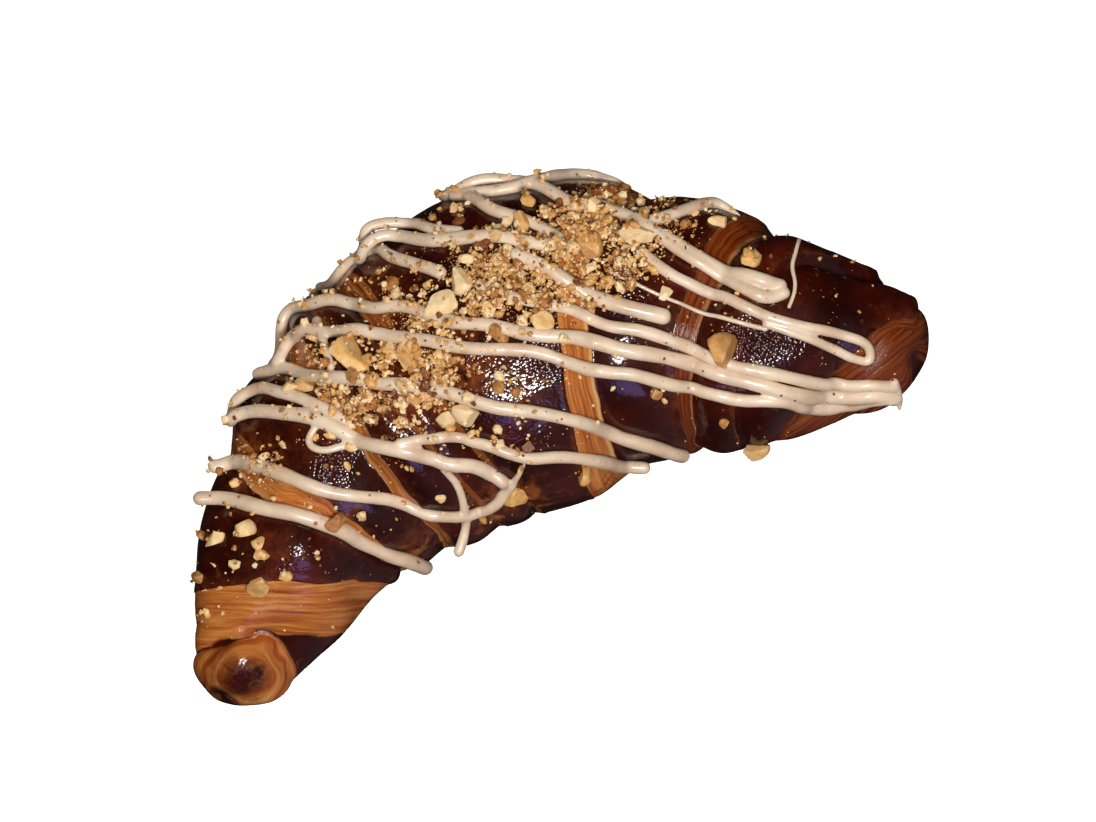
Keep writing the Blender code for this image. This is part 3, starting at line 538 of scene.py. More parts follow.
def spine(s):
    """Place on the spine at distance s, and its heading away from the X axis."""
    radius = np.where(s < 0, LEFT_REACH / LEFT_BEND, RIGHT_REACH / RIGHT_BEND)
    heading = s / radius
    x = SPINE_MIDDLE[0] + radius * np.sin(heading)
    y = SPINE_MIDDLE[1] - radius * (1 - np.cos(heading))
    return x, y, heading


def tip_closing(s):
    """Share of the full section at distance s: 1, and down to 0 at a tip."""
    left = (-s - LEFT_REACH + LEFT_TIP) / LEFT_TIP
    right = (s - RIGHT_REACH + RIGHT_TIP) / RIGHT_TIP
    into_tip = np.clip(np.maximum(left, right), 0, 1)
    return (1 - into_tip ** TIP_ROUNDNESS) ** (1 / TIP_ROUNDNESS)


def envelope(s, angle):
    """Smooth outer form: superellipse sections square to the spine, closed to a dome at each tip."""
    x, y, heading = spine(s)
    front = smooth_curve(s, STATIONS, FRONT_WIDTHS)
    back = smooth_curve(s, STATIONS, BACK_WIDTHS)
    closing = tip_closing(s)
    full = HEIGHT * ((front + back) / (FRONT_WIDTHS + BACK_WIDTHS).max()) ** HEIGHT_POWER
    height = full * closing
    cosine, sine = np.cos(angle), np.sin(angle)
    exponent = np.where(sine >= 0, TOP_ROUNDNESS, SOLE_ROUNDNESS)
    across = np.sign(cosine) * np.abs(cosine) ** (2 / exponent) * closing
    across = across * np.where(cosine >= 0, front, back)
    up = np.sign(sine) * np.abs(sine) ** (2 / exponent)
    middle = WIDEST * height
    z = middle + up * np.where(up >= 0, height - middle, middle)
    z = z + TIP_LIFT * (full - height) - SOLE_SINK
    return np.stack([x - np.sin(heading) * across, y - np.cos(heading) * across, z], -1)


def outward(s, angle):
    """Unit normals of the smooth form, from its slopes along and round the roll."""
    step = 0.2 * MM
    turn = math.radians(0.5)
    low = np.maximum(s - step, -LEFT_REACH + POLE_GAP / 4)
    high = np.minimum(s + step, RIGHT_REACH - POLE_GAP / 4)
    along = envelope(high, angle) - envelope(low, angle)
    around = envelope(s, angle + turn) - envelope(s, angle - turn)
    return unit(np.cross(along, around))


def turn_marks(side, angle):
    """Lip, foot and drop of each turn on one side, from the middle outwards.

    The lip wavers round the section by a few sines, each turn with phases of its own.
    """
    marks = []
    for number, turn in enumerate(TURNS):
        if turn.side == side:
            waver = sum(size * MM * np.sin(waves * angle + phase + 2.1 * number)
                        for waves, phase, size in LIP_WAVES)
            if number in (LEFT_TIP_TURN, RIGHT_TIP_TURN):
                waver = waver * TIP_WAVES
            lip = side * round_the_section(turn.lip, angle) + waver
            cut = round_the_section(turn.cut, angle)
            marks.append((lip, lip + cut, round_the_section(turn.drop, angle), number))
    return marks


class Relief:
    """What the crust does at each point: its height, how pale it is, and its layers."""

    def __init__(self, s, angle):
        shape = np.broadcast(s, angle).shape
        self.height, self.pale, self.layer = np.zeros((3, *shape))
        self.toast, self.line, self.thin = np.zeros((3, *shape))
        self.end, self.band = np.zeros((2, *shape), bool)
        left_lip = -turn_marks(-1, angle)[0][0]
        right_lip = turn_marks(1, angle)[0][0]
        share = np.clip((s - left_lip) / (right_lip - left_lip), 0, 1)
        self.height += SWELL * np.sin(math.pi * share)
        self.rim(np.minimum(np.abs(s - left_lip), np.abs(right_lip - s)), (share > 0) & (share < 1))
        for side, reach in ((-1, LEFT_REACH), (1, RIGHT_REACH)):
            self.side_turns(side, side * s, angle, reach)
        for length, waves, phase, size in LUMPS:
            swing = np.sin(2 * math.pi * s / (length * MM) + phase)
            self.height += size * MM * swing * np.cos(waves * angle + 2 * phase)

    def rim(self, away, here):
        """A baked lip stands up a little over the crust next to it, and is thin there."""
        self.height += np.where(here, RIM * np.exp(-(away / (1.1 * MM)) ** 2), 0)
        self.thin += np.where(here, 0.3 * np.exp(-(away / (1.5 * MM)) ** 2), 0)

    def side_turns(self, side, out, angle, reach):
        """The turns on one side.

        From a lip the cut face falls by the turn's drop to its foot.  From the foot the next
        turn rises again to its own lip.
        """
        marks = turn_marks(side, angle)
        ends = [mark[0] for mark in marks[1:]] + [np.full_like(self.height, reach)]
        for (lip, foot, drop, number), end in zip(marks, ends):
            turn = TURNS[number]
            down = np.clip((out - lip) / (foot - lip), 0, 1)
            face = -drop * down ** turn.ease
            rise = np.clip((out - foot) / (end - foot), 0, 1)
            crown = -drop * (1 - rise) ** SETTLE + SWELL * np.sin(math.pi * rise)
            here = (out > lip) & (out <= end)
            on_cut = (down > 1e-6) & (down < 1 - 1e-6)
            self.height = np.where(here, np.where(out <= foot, face, crown), self.height)
            self.pale = np.where(on_cut, 1 - turn.hidden, self.pale)
            self.layer = np.where(on_cut, down * turn.layers + 11 * number, self.layer)
            self.toast = np.where(on_cut, turn.toast, self.toast)
            self.line = np.where(on_cut, turn.rim * np.exp(-((down - 0.92) / 0.06) ** 2),
                                 self.line)
            if number == RIGHT_TIP_TURN:
                self.right_tip(out, foot, end, turn)
            elif number == LEFT_TIP_TURN:
                self.left_tip(out, angle, on_cut)
            else:
                self.rim(np.abs(end - out), here & (out > foot))

    def right_tip(self, out, foot, end, turn):
        """The right tip shows its layers all the way to the end."""
        self.end = (out > foot - 1e-6) & (out <= end)
        self.pale = np.where(self.end, 1 - turn.hidden, self.pale)
        self.toast = np.where(self.end, turn.toast, self.toast)

    def left_tip(self, out, angle, on_cut):
        """The left tip's cut face turns dark before its foot."""
        self.band = on_cut
        end = round_the_section(LEFT_PALE_END, angle)
        self.pale = np.where(on_cut, self.pale * (1 - ease(out - end, -0.5 * MM, 0.9 * MM)),
                             self.pale)


def patches(s, angle, ground, places):
    """Bell-shaped patches, each strongest at its own place, over a weaker ground."""
    degrees = np.degrees(np.mod(angle + math.pi / 2, 2 * math.pi)) - 90
    for place, turned, spread, fan, strength in places:
        away = ((s / MM - place) / spread) ** 2 + ((degrees - turned) / fan) ** 2
        ground = np.maximum(ground, strength * np.exp(-away))
    return np.clip(ground, 0, 1)


def knob(s, angle, base):
    """The left tip's knob: where it is, how pale and toasted, and the distance across its layers.

    The layers ring its glazed middle, paler and less toasted to the right of it.
    """
    middle = envelope(np.array([KNOB_PLACE[0]]), np.array([KNOB_PLACE[1]]))[0]
    away = np.linalg.norm(base - middle, axis=-1)
    here = ease(-s - turn_marks(-1, angle)[-1][1], 0, 0.8 * MM)
    glazed = 1 - ease(away + soft_noise(base, 3 * MM, 5) * MM, KNOB_GLAZED * 0.3,
                      KNOB_GLAZED * 1.3)
    right = ease(base[..., 0] - middle[0], -1 * MM, 3 * MM)
    pale = here * (0.6 + 0.3 * right) * (1 - 0.85 * glazed)
    return here > 0, pale, 0.45 - 0.15 * right, away + 1.6 * MM * soft_noise(base, 4 * MM, 6)


def crust(s, angle):
    """The crust's points and what its material reads at each.

    The smooth form is raised along its normals by the turns' relief, the grooves between the
    layers, the torn flakes, the lumps and the pebbles of the glaze, all fading out under the
    roll, and it is cut flat at the sole.
    """
    angle = np.broadcast_to(angle, s.shape)
    relief = Relief(s, angle)
    base = envelope(s, angle)
    normals = outward(s, angle)
    on_knob, knob_pale, knob_toast, rings = knob(s, angle, base)
    pale = np.maximum(relief.pale, knob_pale)
    toast = np.where(on_knob, knob_toast, relief.toast)
    right, above = (base @ np.array(axis) for axis in picture_axes())
    kinds = [on_knob, relief.band, relief.end]
    layer = np.select(kinds, [rings / KNOB_LAYER, above / BAND_LAYER,
                              base @ np.array(TIP_ACROSS) / TIP_LAYER], relief.layer)
    along = np.select(kinds, [above / GRAIN, right / GRAIN, base[..., 0] / GRAIN], angle * 20)
    torn = patches(s, angle, np.zeros_like(base[..., 0]), TORN)
    flakes = 1 - np.abs(soft_noise(base, 5 * MM, 71) + 0.5 * soft_noise(base, 2 * MM, 72)) * 1.6
    ragged = ease(flakes + 0.5 * soft_noise(base, 3 * MM, 73), 0.1, 0.5)
    pale = np.maximum(pale, MOST_TORN * torn * ragged)
    toast = np.where(relief.pale > 0, toast, np.maximum(toast, 0.45 * torn))
    layer = layer + soft_noise(base, 8 * MM, 11) * 0.22 + soft_noise(base, 3 * MM, 12) * 0.05
    ground = 0.08 + 0.12 * soft_noise(base, 14 * MM, 31)
    crackle = patches(s, angle, ground, CRACKLED) * (1 - 0.45 * pale)
    thin = patches(s, angle, relief.thin, THIN_CRUST)
    step = layer - np.floor(layer)
    groove = (1 - step) ** 2 + ease(step, 0.8, 1.0)
    height = relief.height - RIDGE * groove * pale + FLAKE_HEIGHT * torn * (flakes - 0.3)
    for number, (size, swing) in enumerate(CRUST_LUMPS):
        height = height + swing * MM * soft_noise(base, size * MM, 40 + number) * (1 - 0.6 * pale)
    height = height + PEBBLE_HEIGHT * crackle * (pebbles(base, PEBBLE, 7) - 0.5)
    fade = ease(np.sin(angle) + FADE_BELOW, 0, FADE_OVER)
    height = height * fade * ease(tip_closing(s), 0.2, 0.85)
    points = base + normals * height[..., None]
    points[..., 2] = np.maximum(points[..., 2], 0)
    layers = np.stack([layer, along + soft_noise(base, 9 * MM, 13), relief.line], -1)
    return points, {"pale": pale * ease(np.sin(angle), -0.98, -0.8), "layers": layers,
                    "crackle": crackle, "toast": toast, "thin": thin}


def crust_columns():
    """Angles of the columns: evenly close from side to side over the top, wide under the roll."""
    fine = np.linspace(0, 2 * math.pi, 3601) - math.pi / 2
    density = np.where(np.sin(fine) > -0.5, 1.0, UNDERSIDE_SHARE)
    run = np.concatenate([[0], np.cumsum(density[:-1])])
    return np.interp(np.arange(COLUMNS) / COLUMNS, run / run[-1], fine)


def row_lines(angle):
    """The lines that rows keep to, from tip to tip, and whether each is a lip, foot or tip."""
    lines = []
    for side in (-1, 1):
        marks = turn_marks(side, angle)
        own = []
        for lip, foot, _, _ in marks:
            own += [(side * lip, "lip"), (side * foot, "foot")]
        reach = LEFT_REACH if side < 0 else RIGHT_REACH
        own.append((np.full_like(angle, side * (reach - POLE_GAP)), "tip"))
        lines += own[::-1] if side < 0 else own
    return lines


def rows_between(first, second, kind):
    """Rows from one line up to the next, as many as the widest gap between them needs."""
    step = CUT_STEP if kind == {"lip", "foot"} else ROW_STEP
    widest = np.abs(second - first).max()
    beyond = max(0, widest - WIDE_GAP)
    count = max(FEWEST_ROWS, math.ceil(min(widest, WIDE_GAP) / step + beyond / (step * 2)))
    if "tip" in kind:
        shares = np.sin(np.arange(count) / count * math.pi / 2)
        if np.mean(second) < 0:
            shares = 1 - np.cos(np.arange(count) / count * math.pi / 2)
    else:
        shares = np.arange(count) / count
    return [first + (second - first) * share for share in shares]


def closed_grid(rows, columns, low_pole, high_pole):
    """Quads between the rows of a grid that closes on itself, and a fan to a pole at each end."""
    i, j = np.meshgrid(np.arange(rows - 1), np.arange(columns), indexing="ij")
    after = (j + 1) % columns
    quads = np.stack([i * columns + j, (i + 1) * columns + j, (i + 1) * columns + after,
                      i * columns + after], -1).reshape(-1, 4)
    ring = np.arange(columns)
    following = (ring + 1) % columns
    last = (rows - 1) * columns
    low = np.stack([np.full(columns, low_pole), ring, following], -1)
    high = np.stack([np.full(columns, high_pole), last + following, last + ring], -1)
    return [quads, np.concatenate([low, high])]


def crust_pieces(angle):
    """The rows of each crust piece: up to the third lip left, the middle, and from the first right."""
    lines = row_lines(angle)
    pieces = {}
    for name, (first, last) in CRUST_PIECES.items():
        rows = []
        for k in range(first, last):
            rows += rows_between(lines[k][0], lines[k + 1][0], {lines[k][1], lines[k + 1][1]})
        rows.append(lines[last][0])
        pieces[name] = np.stack(rows)
    return pieces


# ---- The icing ----

def sight_axes():
    """The sight line's directions across, up and back towards the viewer, and the eye."""
    back = Vector((0, -math.cos(SIGHT_ELEVATION), math.sin(SIGHT_ELEVATION)))
    across = Vector((1, 0, 0))
    return across, back.cross(across), back, SIGHT_TARGET + back * SIGHT_DISTANCE


def picture_axes():
    """The photograph's directions to the right and up, turned from the layout plane's."""
    across, up, _, _ = sight_axes()
    cosine, sine = math.cos(CAMERA_ROLL), math.sin(CAMERA_ROLL)
    return across * cosine - up * sine, across * sine + up * cosine


def sight_ray(place):
    """The eye, and the direction from it through a place in the layout plane."""
    across, up, _, eye = sight_axes()
    on_plane = (SIGHT_TARGET + across * (place[0] - SIGHT_OFFSET[0])
                + up * (place[1] - SIGHT_OFFSET[1]))
    return eye, (on_plane - eye).normalized()


def even_points(points, step):
    """Points about a step apart on a smooth curve through the given ones."""
    points = np.array(points, dtype=float)
    knots = run_along(points)
    places = np.linspace(0, knots[-1], max(3, round(knots[-1] / step) + 1))
    return np.stack([smooth_curve(places, knots, column) for column in points.T], -1)


def laid_strand(route, surface):
    """A route in the layout plane, dropped along the sight line onto the surface."""
    eye = sight_axes()[3]
    directions = []
    depths = []
    for place in even_points(np.array(route) * MM, LAY_STEP):
        _, direction = sight_ray(place)
        hit, _, _, depth = surface.ray_cast(eye, direction)
        directions.append(direction)
        depths.append(depth if hit else math.nan)
    depths = np.array(depths)
    known = np.flatnonzero(~np.isnan(depths))
    depths = np.interp(np.arange(len(depths)), known, depths[known])
    return [eye + direction * depth for direction, depth in zip(directions, depths)]


def far_run(points, length, surface):
    """Points over the far side that lead up to a strand's start, straight along the surface."""
    here = points[0]
    heading = (here - points[1]).normalized()
    run = []
    for _ in range(round(length / LAY_STEP)):
        there, normal, _, _ = surface.find_nearest(here + heading * LAY_STEP)
        heading = (there - here).normalized() + FAR_SLOPE * FAR_PULL
        heading = (heading - normal * heading.dot(normal)).normalized()
        run.append(there)
        here = there
    return run[::-1]


def far_turn(first, second, surface):
    """Points of a loop over the far side, from the start of one strand to that of another."""
    out = ((first[0] - first[1]).normalized() + FAR_SLOPE) * FAR_TURN_REACH
    back = ((second[0] - second[1]).normalized() + FAR_SLOPE) * FAR_TURN_REACH
    count = FAR_TURN_POINTS + 1
    loop = []
    for i in range(1, count):
        t = i / count
        place = (first[0] * (1 + 2 * t) * (1 - t) ** 2 + second[0] * t * t * (3 - 2 * t)
                 + out * t * (1 - t) ** 2 + back * t * t * (1 - t))
        loop.append(surface.find_nearest(place)[0])
    return loop


def smoothed(values, times):
    """Each value averaged with its neighbours, the ends kept."""
    values = np.array(values, dtype=float)
    for _ in range(times):
        values[1:-1] = (values[:-2] + 2 * values[1:-1] + values[2:]) / 4
    return values


def rest_on(points, radii, surface, below):
    """A path lifted to lie on the surface, bridging dips and rising over the paths below it.

    Returns the path and the surface's normals along it.
    """
    path = smoothed(points, PATH_ROUNDS)
    found = [surface.find_nearest(Vector(point)) for point in path]
    feet = np.array([hit[0] for hit in found])
    normals = unit(smoothed([hit[1] for hit in found], NORMAL_ROUNDS))
    heights = ((path - feet) * normals).sum(axis=1)
    lift = radii * (1 - STRAND_SINK)
    heights = np.maximum(lift, heights + lift * BRIDGED)
    if len(below):
        near = np.linalg.norm(feet[:, None] - below[None, :, :3], axis=2)
        rise = CROSSING_LIFT * below[None, :, 3] * np.exp(-(near / below[None, :, 3]) ** 2)
        heights = heights + rise.max(axis=1)
    rested = smoothed(feet + normals * smoothed(heights, HEIGHT_ROUNDS)[:, None], REST_ROUNDS)
    rested[:, 2] = np.maximum(rested[:, 2], radii + FLOOR_CLEAR)
    return rested, normals


def strand_points(surface):
    """Every strand's points on the dough with its thicknesses, far-side turns and runs joined on."""
    laid = {name: laid_strand(strand.route, surface) for name, strand in STRANDS.items()}
    widths = {name: [strand.start, strand.end] for name, strand in STRANDS.items()}
    for name, length in FAR_RUNS.items():
        laid[name] = far_run(laid[name], length, surface) + laid[name]
    for first, second in FAR_TURNS:
        loop = far_turn(laid[first], laid[second], surface)
        laid[first] = laid[first][::-1] + loop + laid.pop(second)
        one, other = widths[first], widths.pop(second)
        widths[first] = [one[1], one[0], other[0], other[1]]
    return {name: (even_points(points, STRAND_STEP), widths[name])
            for name, points in laid.items()}


def tube(path, normals, radii, sides):
    """A tube along a path, closed by a dome at each end.

    Each ring is its path point plus the radius times cosine along the sideways direction and
    sine along the surface's normal, a little wider than high.
    """
    heads = unit(np.gradient(path, axis=0))
    turn = np.arange(1, DOME_RINGS + 1) / (DOME_RINGS + 1) * math.pi / 2
    reach, narrowing = np.sin(turn)[:, None], np.cos(turn)
    start = path[0] - heads[0] * radii[0] * reach[::-1]
    end = path[-1] + heads[-1] * radii[-1] * reach
    centres = np.concatenate([start, path, end])
    radii_all = np.concatenate([radii[0] * narrowing[::-1], radii, radii[-1] * narrowing])
    pad = ((DOME_RINGS, DOME_RINGS), (0, 0))
    heads_all = np.pad(heads, pad, mode="edge")
    normals_all = np.pad(normals, pad, mode="edge")
    sideways = unit(np.cross(heads_all, normals_all))
    upward = np.cross(sideways, heads_all)
    around = np.arange(sides) / sides * 2 * math.pi
    rings = (centres[:, None] + radii_all[:, None, None]
             * (TUBE_WIDTH * np.cos(around)[None, :, None] * sideways[:, None]
                - TUBE_HEIGHT * np.sin(around)[None, :, None] * upward[:, None]))
    poles = np.stack([path[0] - heads[0] * radii[0], path[-1] + heads[-1] * radii[-1]])
    count = len(centres) * sides
    return (np.concatenate([rings.reshape(-1, 3), poles]),
            closed_grid(len(centres), sides, count, count + 1))


def joined(parts):
    """Several point arrays and their polygons as one."""
    points = []
    polygons = []
    start = 0
    for own, faces in parts:
        points.append(own)
        polygons += [array + start for array in faces]
        start += len(own)
    return np.concatenate(points), polygons


def uneven_radii(path, widths, tapers, seed):
    """Half the thicknesses, spread along the path, swelling and thinning as icing flows.

    tapers gives the lengths in mm over which the first and last ends narrow to a point.
    """
    places = np.linspace(0, len(widths) - 1, len(path))
    radii = np.interp(places, np.arange(len(widths)), widths) * MM / 2
    swelling = sum(share * soft_noise(path, length * MM, seed + i)
                   for i, (share, length) in enumerate(SWELLINGS))
    radii = radii * (1 + UNEVENNESS * swelling)
    run = run_along(path)
    for away, taper in ((run, tapers[0]), (run[-1] - run, tapers[1])):
        if taper:
            grown = TAPERED_TO + (1 - TAPERED_TO) * (away / (taper * MM)) ** TAPER_POWER
            radii = radii * np.clip(grown, TAPERED_TO, 1)
    return radii


# ---- The nuts ----

def strewn_spots(number, draw):
    """Spots in the layout plane for one size of piece: normal spreads about patches and clumps."""
    spots = []
    for patch in PATCHES:
        middle, spread = (patch.across, patch.up), (patch.spread_across, patch.spread_up)
        clumps = draw.normal(middle, spread, (patch.clumps, 2))
        count = round(patch.counts[number] * AMOUNTS[number])
        clumped = round(count * CLUMPED)
        spots += [draw.normal(middle, spread, (count - clumped, 2)),
                  clumps[draw.integers(0, patch.clumps, clumped)]
                  + draw.normal(0, CLUMP_SPREAD, (clumped, 2))]
    return np.concatenate(spots)


def unit_ball(rings, columns):
    """A ball of radius 1: rings at even heights' angles, and a pole at each end."""
    tilt = np.arange(1, rings + 1) / (rings + 1) * math.pi
    around = np.arange(columns) / columns * 2 * math.pi
    ring = np.stack([np.cos(around), np.sin(around), np.zeros(columns)], -1)
    points = ring[None] * np.sin(tilt)[:, None, None]
    points[..., 2] = -np.cos(tilt)[:, None]
    poles = np.array([[0, 0, -1.0], [0, 0, 1.0]])
    count = rings * columns
    return (np.concatenate([points.reshape(-1, 3), poles]),
            [array[:, ::-1] for array in closed_grid(rings, columns, count, count + 1)])


def frames(normals, draw, tilt):
    """A length, width and thickness direction for each piece, turned at random about its normal."""
    count = len(normals)
    up = unit(normals + draw.normal(0, tilt, (count, 3)))
    along = unit(np.cross(up, draw.normal(0, 1, (count, 3))))
    return np.stack([along, np.cross(up, along), up], 1)


def chopped(places, normals, sizes, roast, ball, draw, cuts=6, closest=0.55, tilt=0.25,
            rough=0.0, sink=0.3):
    """Pieces chopped from nuts: a ball cut back by flat sides whose edges are a little worn.

    Each point of the ball goes out to 1 / (1 + sum((direction . side / distance) ** WORN)) **
    (1 / WORN), which follows the nearest side and rounds the edge between two.  The result is
    stretched until it measures the piece's sizes, turned, and sunk by a share of its thickness.
    """
    points, polygons = ball
    count = len(places)
    sides = unit(draw.normal(0, 1, (count, cuts, 3)))
    away = draw.uniform(closest, 0.85, (count, cuts))
    facing = np.einsum("mj,nkj->nmk", points, sides) / away[:, None]
    reach = (1 + (np.maximum(facing, 0) ** WORN).sum(axis=2)) ** (-1 / WORN)
    chunk = points[None] * reach[..., None]
    low, high = chunk.min(axis=1, keepdims=True), chunk.max(axis=1, keepdims=True)
    chunk = (chunk - (low + high) / 2) / (high - low) * sizes[:, None]
    if rough:
        apart = chunk + np.arange(count)[:, None, None] * 0.13
        crumbly = soft_noise(apart, 0.9 * MM, 91) + 0.6 * soft_noise(apart, 0.4 * MM, 92)
        chunk = chunk + points[None] * (crumbly * rough)[..., None]
    turned = np.einsum("nmi,nij->nmj", chunk, frames(normals, draw, tilt))
    lift = sizes[:, 2] * (0.5 - sink) * 0.9
    turned = turned + (places + normals * lift[:, None])[:, None]
    start = np.arange(count)[:, None, None] * len(points)
    faces = [(array[None] + start).reshape(-1, array.shape[1]) for array in polygons]
    skin_side = unit(draw.normal(0, 1, (count, 3)))
    skin = ease(np.einsum("mj,nj->nm", points, skin_side), 0.35, 0.6)
    values = {"roast": np.repeat(roast, len(points)), "skin": skin.ravel()}
    return turned.reshape(-1, 3), faces, values


def seen_places(spots, surface, sparser=()):
    """Where sight lines through places in the layout plane, in mm, meet the surface.

    sparser gives surfaces on which only one piece in so many stays.
    """
    places = []
    normals = []
    kept = []
    for i, spot in enumerate(spots):
        eye, direction = sight_ray((spot[0] * MM, spot[1] * MM))
        hit, normal, _, _ = surface.ray_cast(eye, direction)
        if any(i % every and other.ray_cast(eye, direction)[0] for other, every in sparser):
            continue
        if hit and hit.z > LOWEST:
            places.append(hit)
            normals.append(normal)
            kept.append(i)
    return np.array(places), np.array(normals), np.array(kept, dtype=int)


def far_places(count, surface, draw):
    """Places over the far side, dropped onto the surface from outside it."""
    middle, spread, furthest = FAR_ALONG
    s = draw.normal(middle, spread, count).clip(-furthest, furthest)
    angle = np.radians(draw.uniform(*FAR_ROUND, count))
    outside = envelope(s, angle) + outward(s, angle) * FAR_FROM
    found = [surface.find_nearest(Vector(point)) for point in outside]
    return np.array([hit[0] for hit in found]), np.array([hit[1] for hit in found])


# ---- Materials ----

COLOURS = {"data_type": "RGBA", "output": 2}    # what a mix of colours is added with


def new_material(name):
    """A material with a Principled shader, its node tree and the shader."""
    material = bpy.data.materials.new(name)
    material.use_nodes = True
    return material, material.node_tree, material.node_tree.nodes["Principled BSDF"]


def crust_material(settings):
    """Baked chocolate dough under a sugar glaze, with its butter layers showing where cut.

    The glaze is a clear coat that catches the light on every pebble.  Cut faces are golden to
    brown, with a dark line at each layer's edge and streaks along the layers.  The dark lines are
    partly toasted edges and partly painted shade in the grooves between the layers.
    """
    material, tree, shader = new_material("glazed_chocolate_dough")
    place = add(tree, "TexCoord", {}, output="Object")
    pale, crackle, toast, thin = (add(tree, "Attribute", {}, output="Fac", attribute_name=name)
                                  for name in ("pale", "crackle", "toast", "thin"))
    layers = add(tree, "Attribute", {}, output="Vector", attribute_name="layers")
    # Dark dough in clouds of about 12 mm, browner in spots of 2.4 mm where it is thin
    clouds = add(tree, "TexNoise", {"Vector": place, "Scale": 85.0, "Detail": 6.0,
                                    "Roughness": 0.65})
    dark = add(tree, "ValToRGB", {"Fac": clouds}, [
        (0.34, settings.dark_color), (0.52, settings.glaze_color), (0.72, settings.red_color)])
    mottle = add(tree, "TexNoise", {"Vector": place, "Scale": 420.0, "Detail": 5.0,
                                    "Roughness": 0.7, "Distortion": 0.6})
    browning = add(tree, "MapRange", {"Value": mottle, "From Min": 0.38, "From Max": 0.62})
    warmth = add(tree, "Math", {0: browning, 1: thin}, operation="MULTIPLY")
    warm = add(tree, "Mix", {0: warmth, 6: dark, 7: settings.warm_color}, **COLOURS)
    # A dark line where one layer ends and the next begins, wavering by a fifth of a layer.  It is
    # partly the layer's toasted edge and partly painted shade in the groove and under the lip
    parts = add(tree, "SeparateXYZ", {"Vector": layers}).node.outputs
    waver = add(tree, "TexNoise", {"Vector": place, "Scale": 330.0, "Detail": 3.0})
    moved = add(tree, "Math", {0: waver, 1: 0.4, 2: parts["X"]}, operation="MULTIPLY_ADD")
    step = add(tree, "Math", {0: moved}, operation="FRACT")
    lines = add(tree, "ValToRGB", {"Fac": step}, [(at, [grey] * 3) for at, grey in (
        (0.0, 0.1), (0.10, 0.25), (0.26, 0.7), (0.55, 1), (0.84, 0.75), (0.97, 0.1))])
    # Streaks of up to about 15 mm along the layers.  Streaks and lines stand out the more, the
    # more a face is toasted.
    stretched = add(tree, "Mapping", {"Vector": layers, "Scale": (2.6, 0.085, 0.0)})
    streaks = add(tree, "TexNoise", {"Vector": stretched, "Scale": 1.0, "Detail": 5.0,
                                     "Roughness": 0.65, "Distortion": 0.05})
    darkest, palest, plainer = (
        add(tree, "MapRange", {"Value": toast, "To Min": fresh, "To Max": toasted})
        for fresh, toasted in ((0.26, 0.4), (0.76, 0.64), (0.95, 0.75)))
    sharp = add(tree, "MapRange", {"Value": streaks, "From Min": darkest, "From Max": palest,
                                   "To Min": 0.25, "To Max": 0.9})
    tone = add(tree, "Mix", {0: plainer, 2: lines, 3: sharp})
    amber = add(tree, "ValToRGB", {"Fac": tone}, [
        (0.16, settings.toast_and_groove_shade_color), (0.42, settings.layer_color),
        (0.68, settings.gold_color), (0.9, settings.butter_color)])
    shade = add(tree, "Mix", {0: toast, 6: (1, 1, 1), 7: settings.toast_color}, **COLOURS)
    baked = add(tree, "Mix", {0: 1.0, 6: amber, 7: shade}, blend_type="MULTIPLY", **COLOURS)
    rimmed = add(tree, "Mix", {0: parts["Z"], 6: baked, 7: settings.butter_color}, **COLOURS)
    # The glaze runs a fraction of a millimetre over the cut face, raggedly
    ragged = add(tree, "Math", {0: mottle, 1: 0.9, 2: pale}, operation="MULTIPLY_ADD")
    mask = add(tree, "MapRange", {"Value": ragged, "From Min": 0.55, "From Max": 1.15})
    colour = add(tree, "Mix", {0: mask, 6: warm, 7: rimmed}, **COLOURS)
    rough = add(tree, "MapRange", {"Value": mask, "To Min": settings.gloss, "To Max": 0.55})
    # Crackle: round beads of 0.8 mm, and the sugar's finest wrinkles over the whole crust
    cells = add(tree, "TexVoronoi", {"Vector": place, "Scale": 1300.0})
    wrinkles = add(tree, "TexNoise", {"Vector": place, "Scale": 2400.0, "Detail": 3.0})
    domes = add(tree, "Math", {0: cells, 1: cells}, operation="MULTIPLY")
    deep = add(tree, "Math", {0: domes, 1: crackle}, operation="MULTIPLY")
    fine = add(tree, "Math", {0: wrinkles, 1: 0.05}, operation="MULTIPLY")
    rise = add(tree, "Math", {0: fine, 1: deep}, operation="SUBTRACT")
    grain = add(tree, "Math", {0: tone, 1: mask}, operation="MULTIPLY")
    height = add(tree, "Math", {0: grain, 1: 0.3, 2: rise}, operation="MULTIPLY_ADD")
    bump = add(tree, "Bump", {"Height": height, "Distance": 0.45 * MM, "Strength": 1.0})
    feed(shader, {"Base Color": colour, "Roughness": rough, "Specular IOR Level": 0.1,
                  "Coat Weight": 1.0, "Coat Roughness": 0.06, "IOR": 1.45,
                  "Normal": bump, "Coat Normal": bump})
    return material


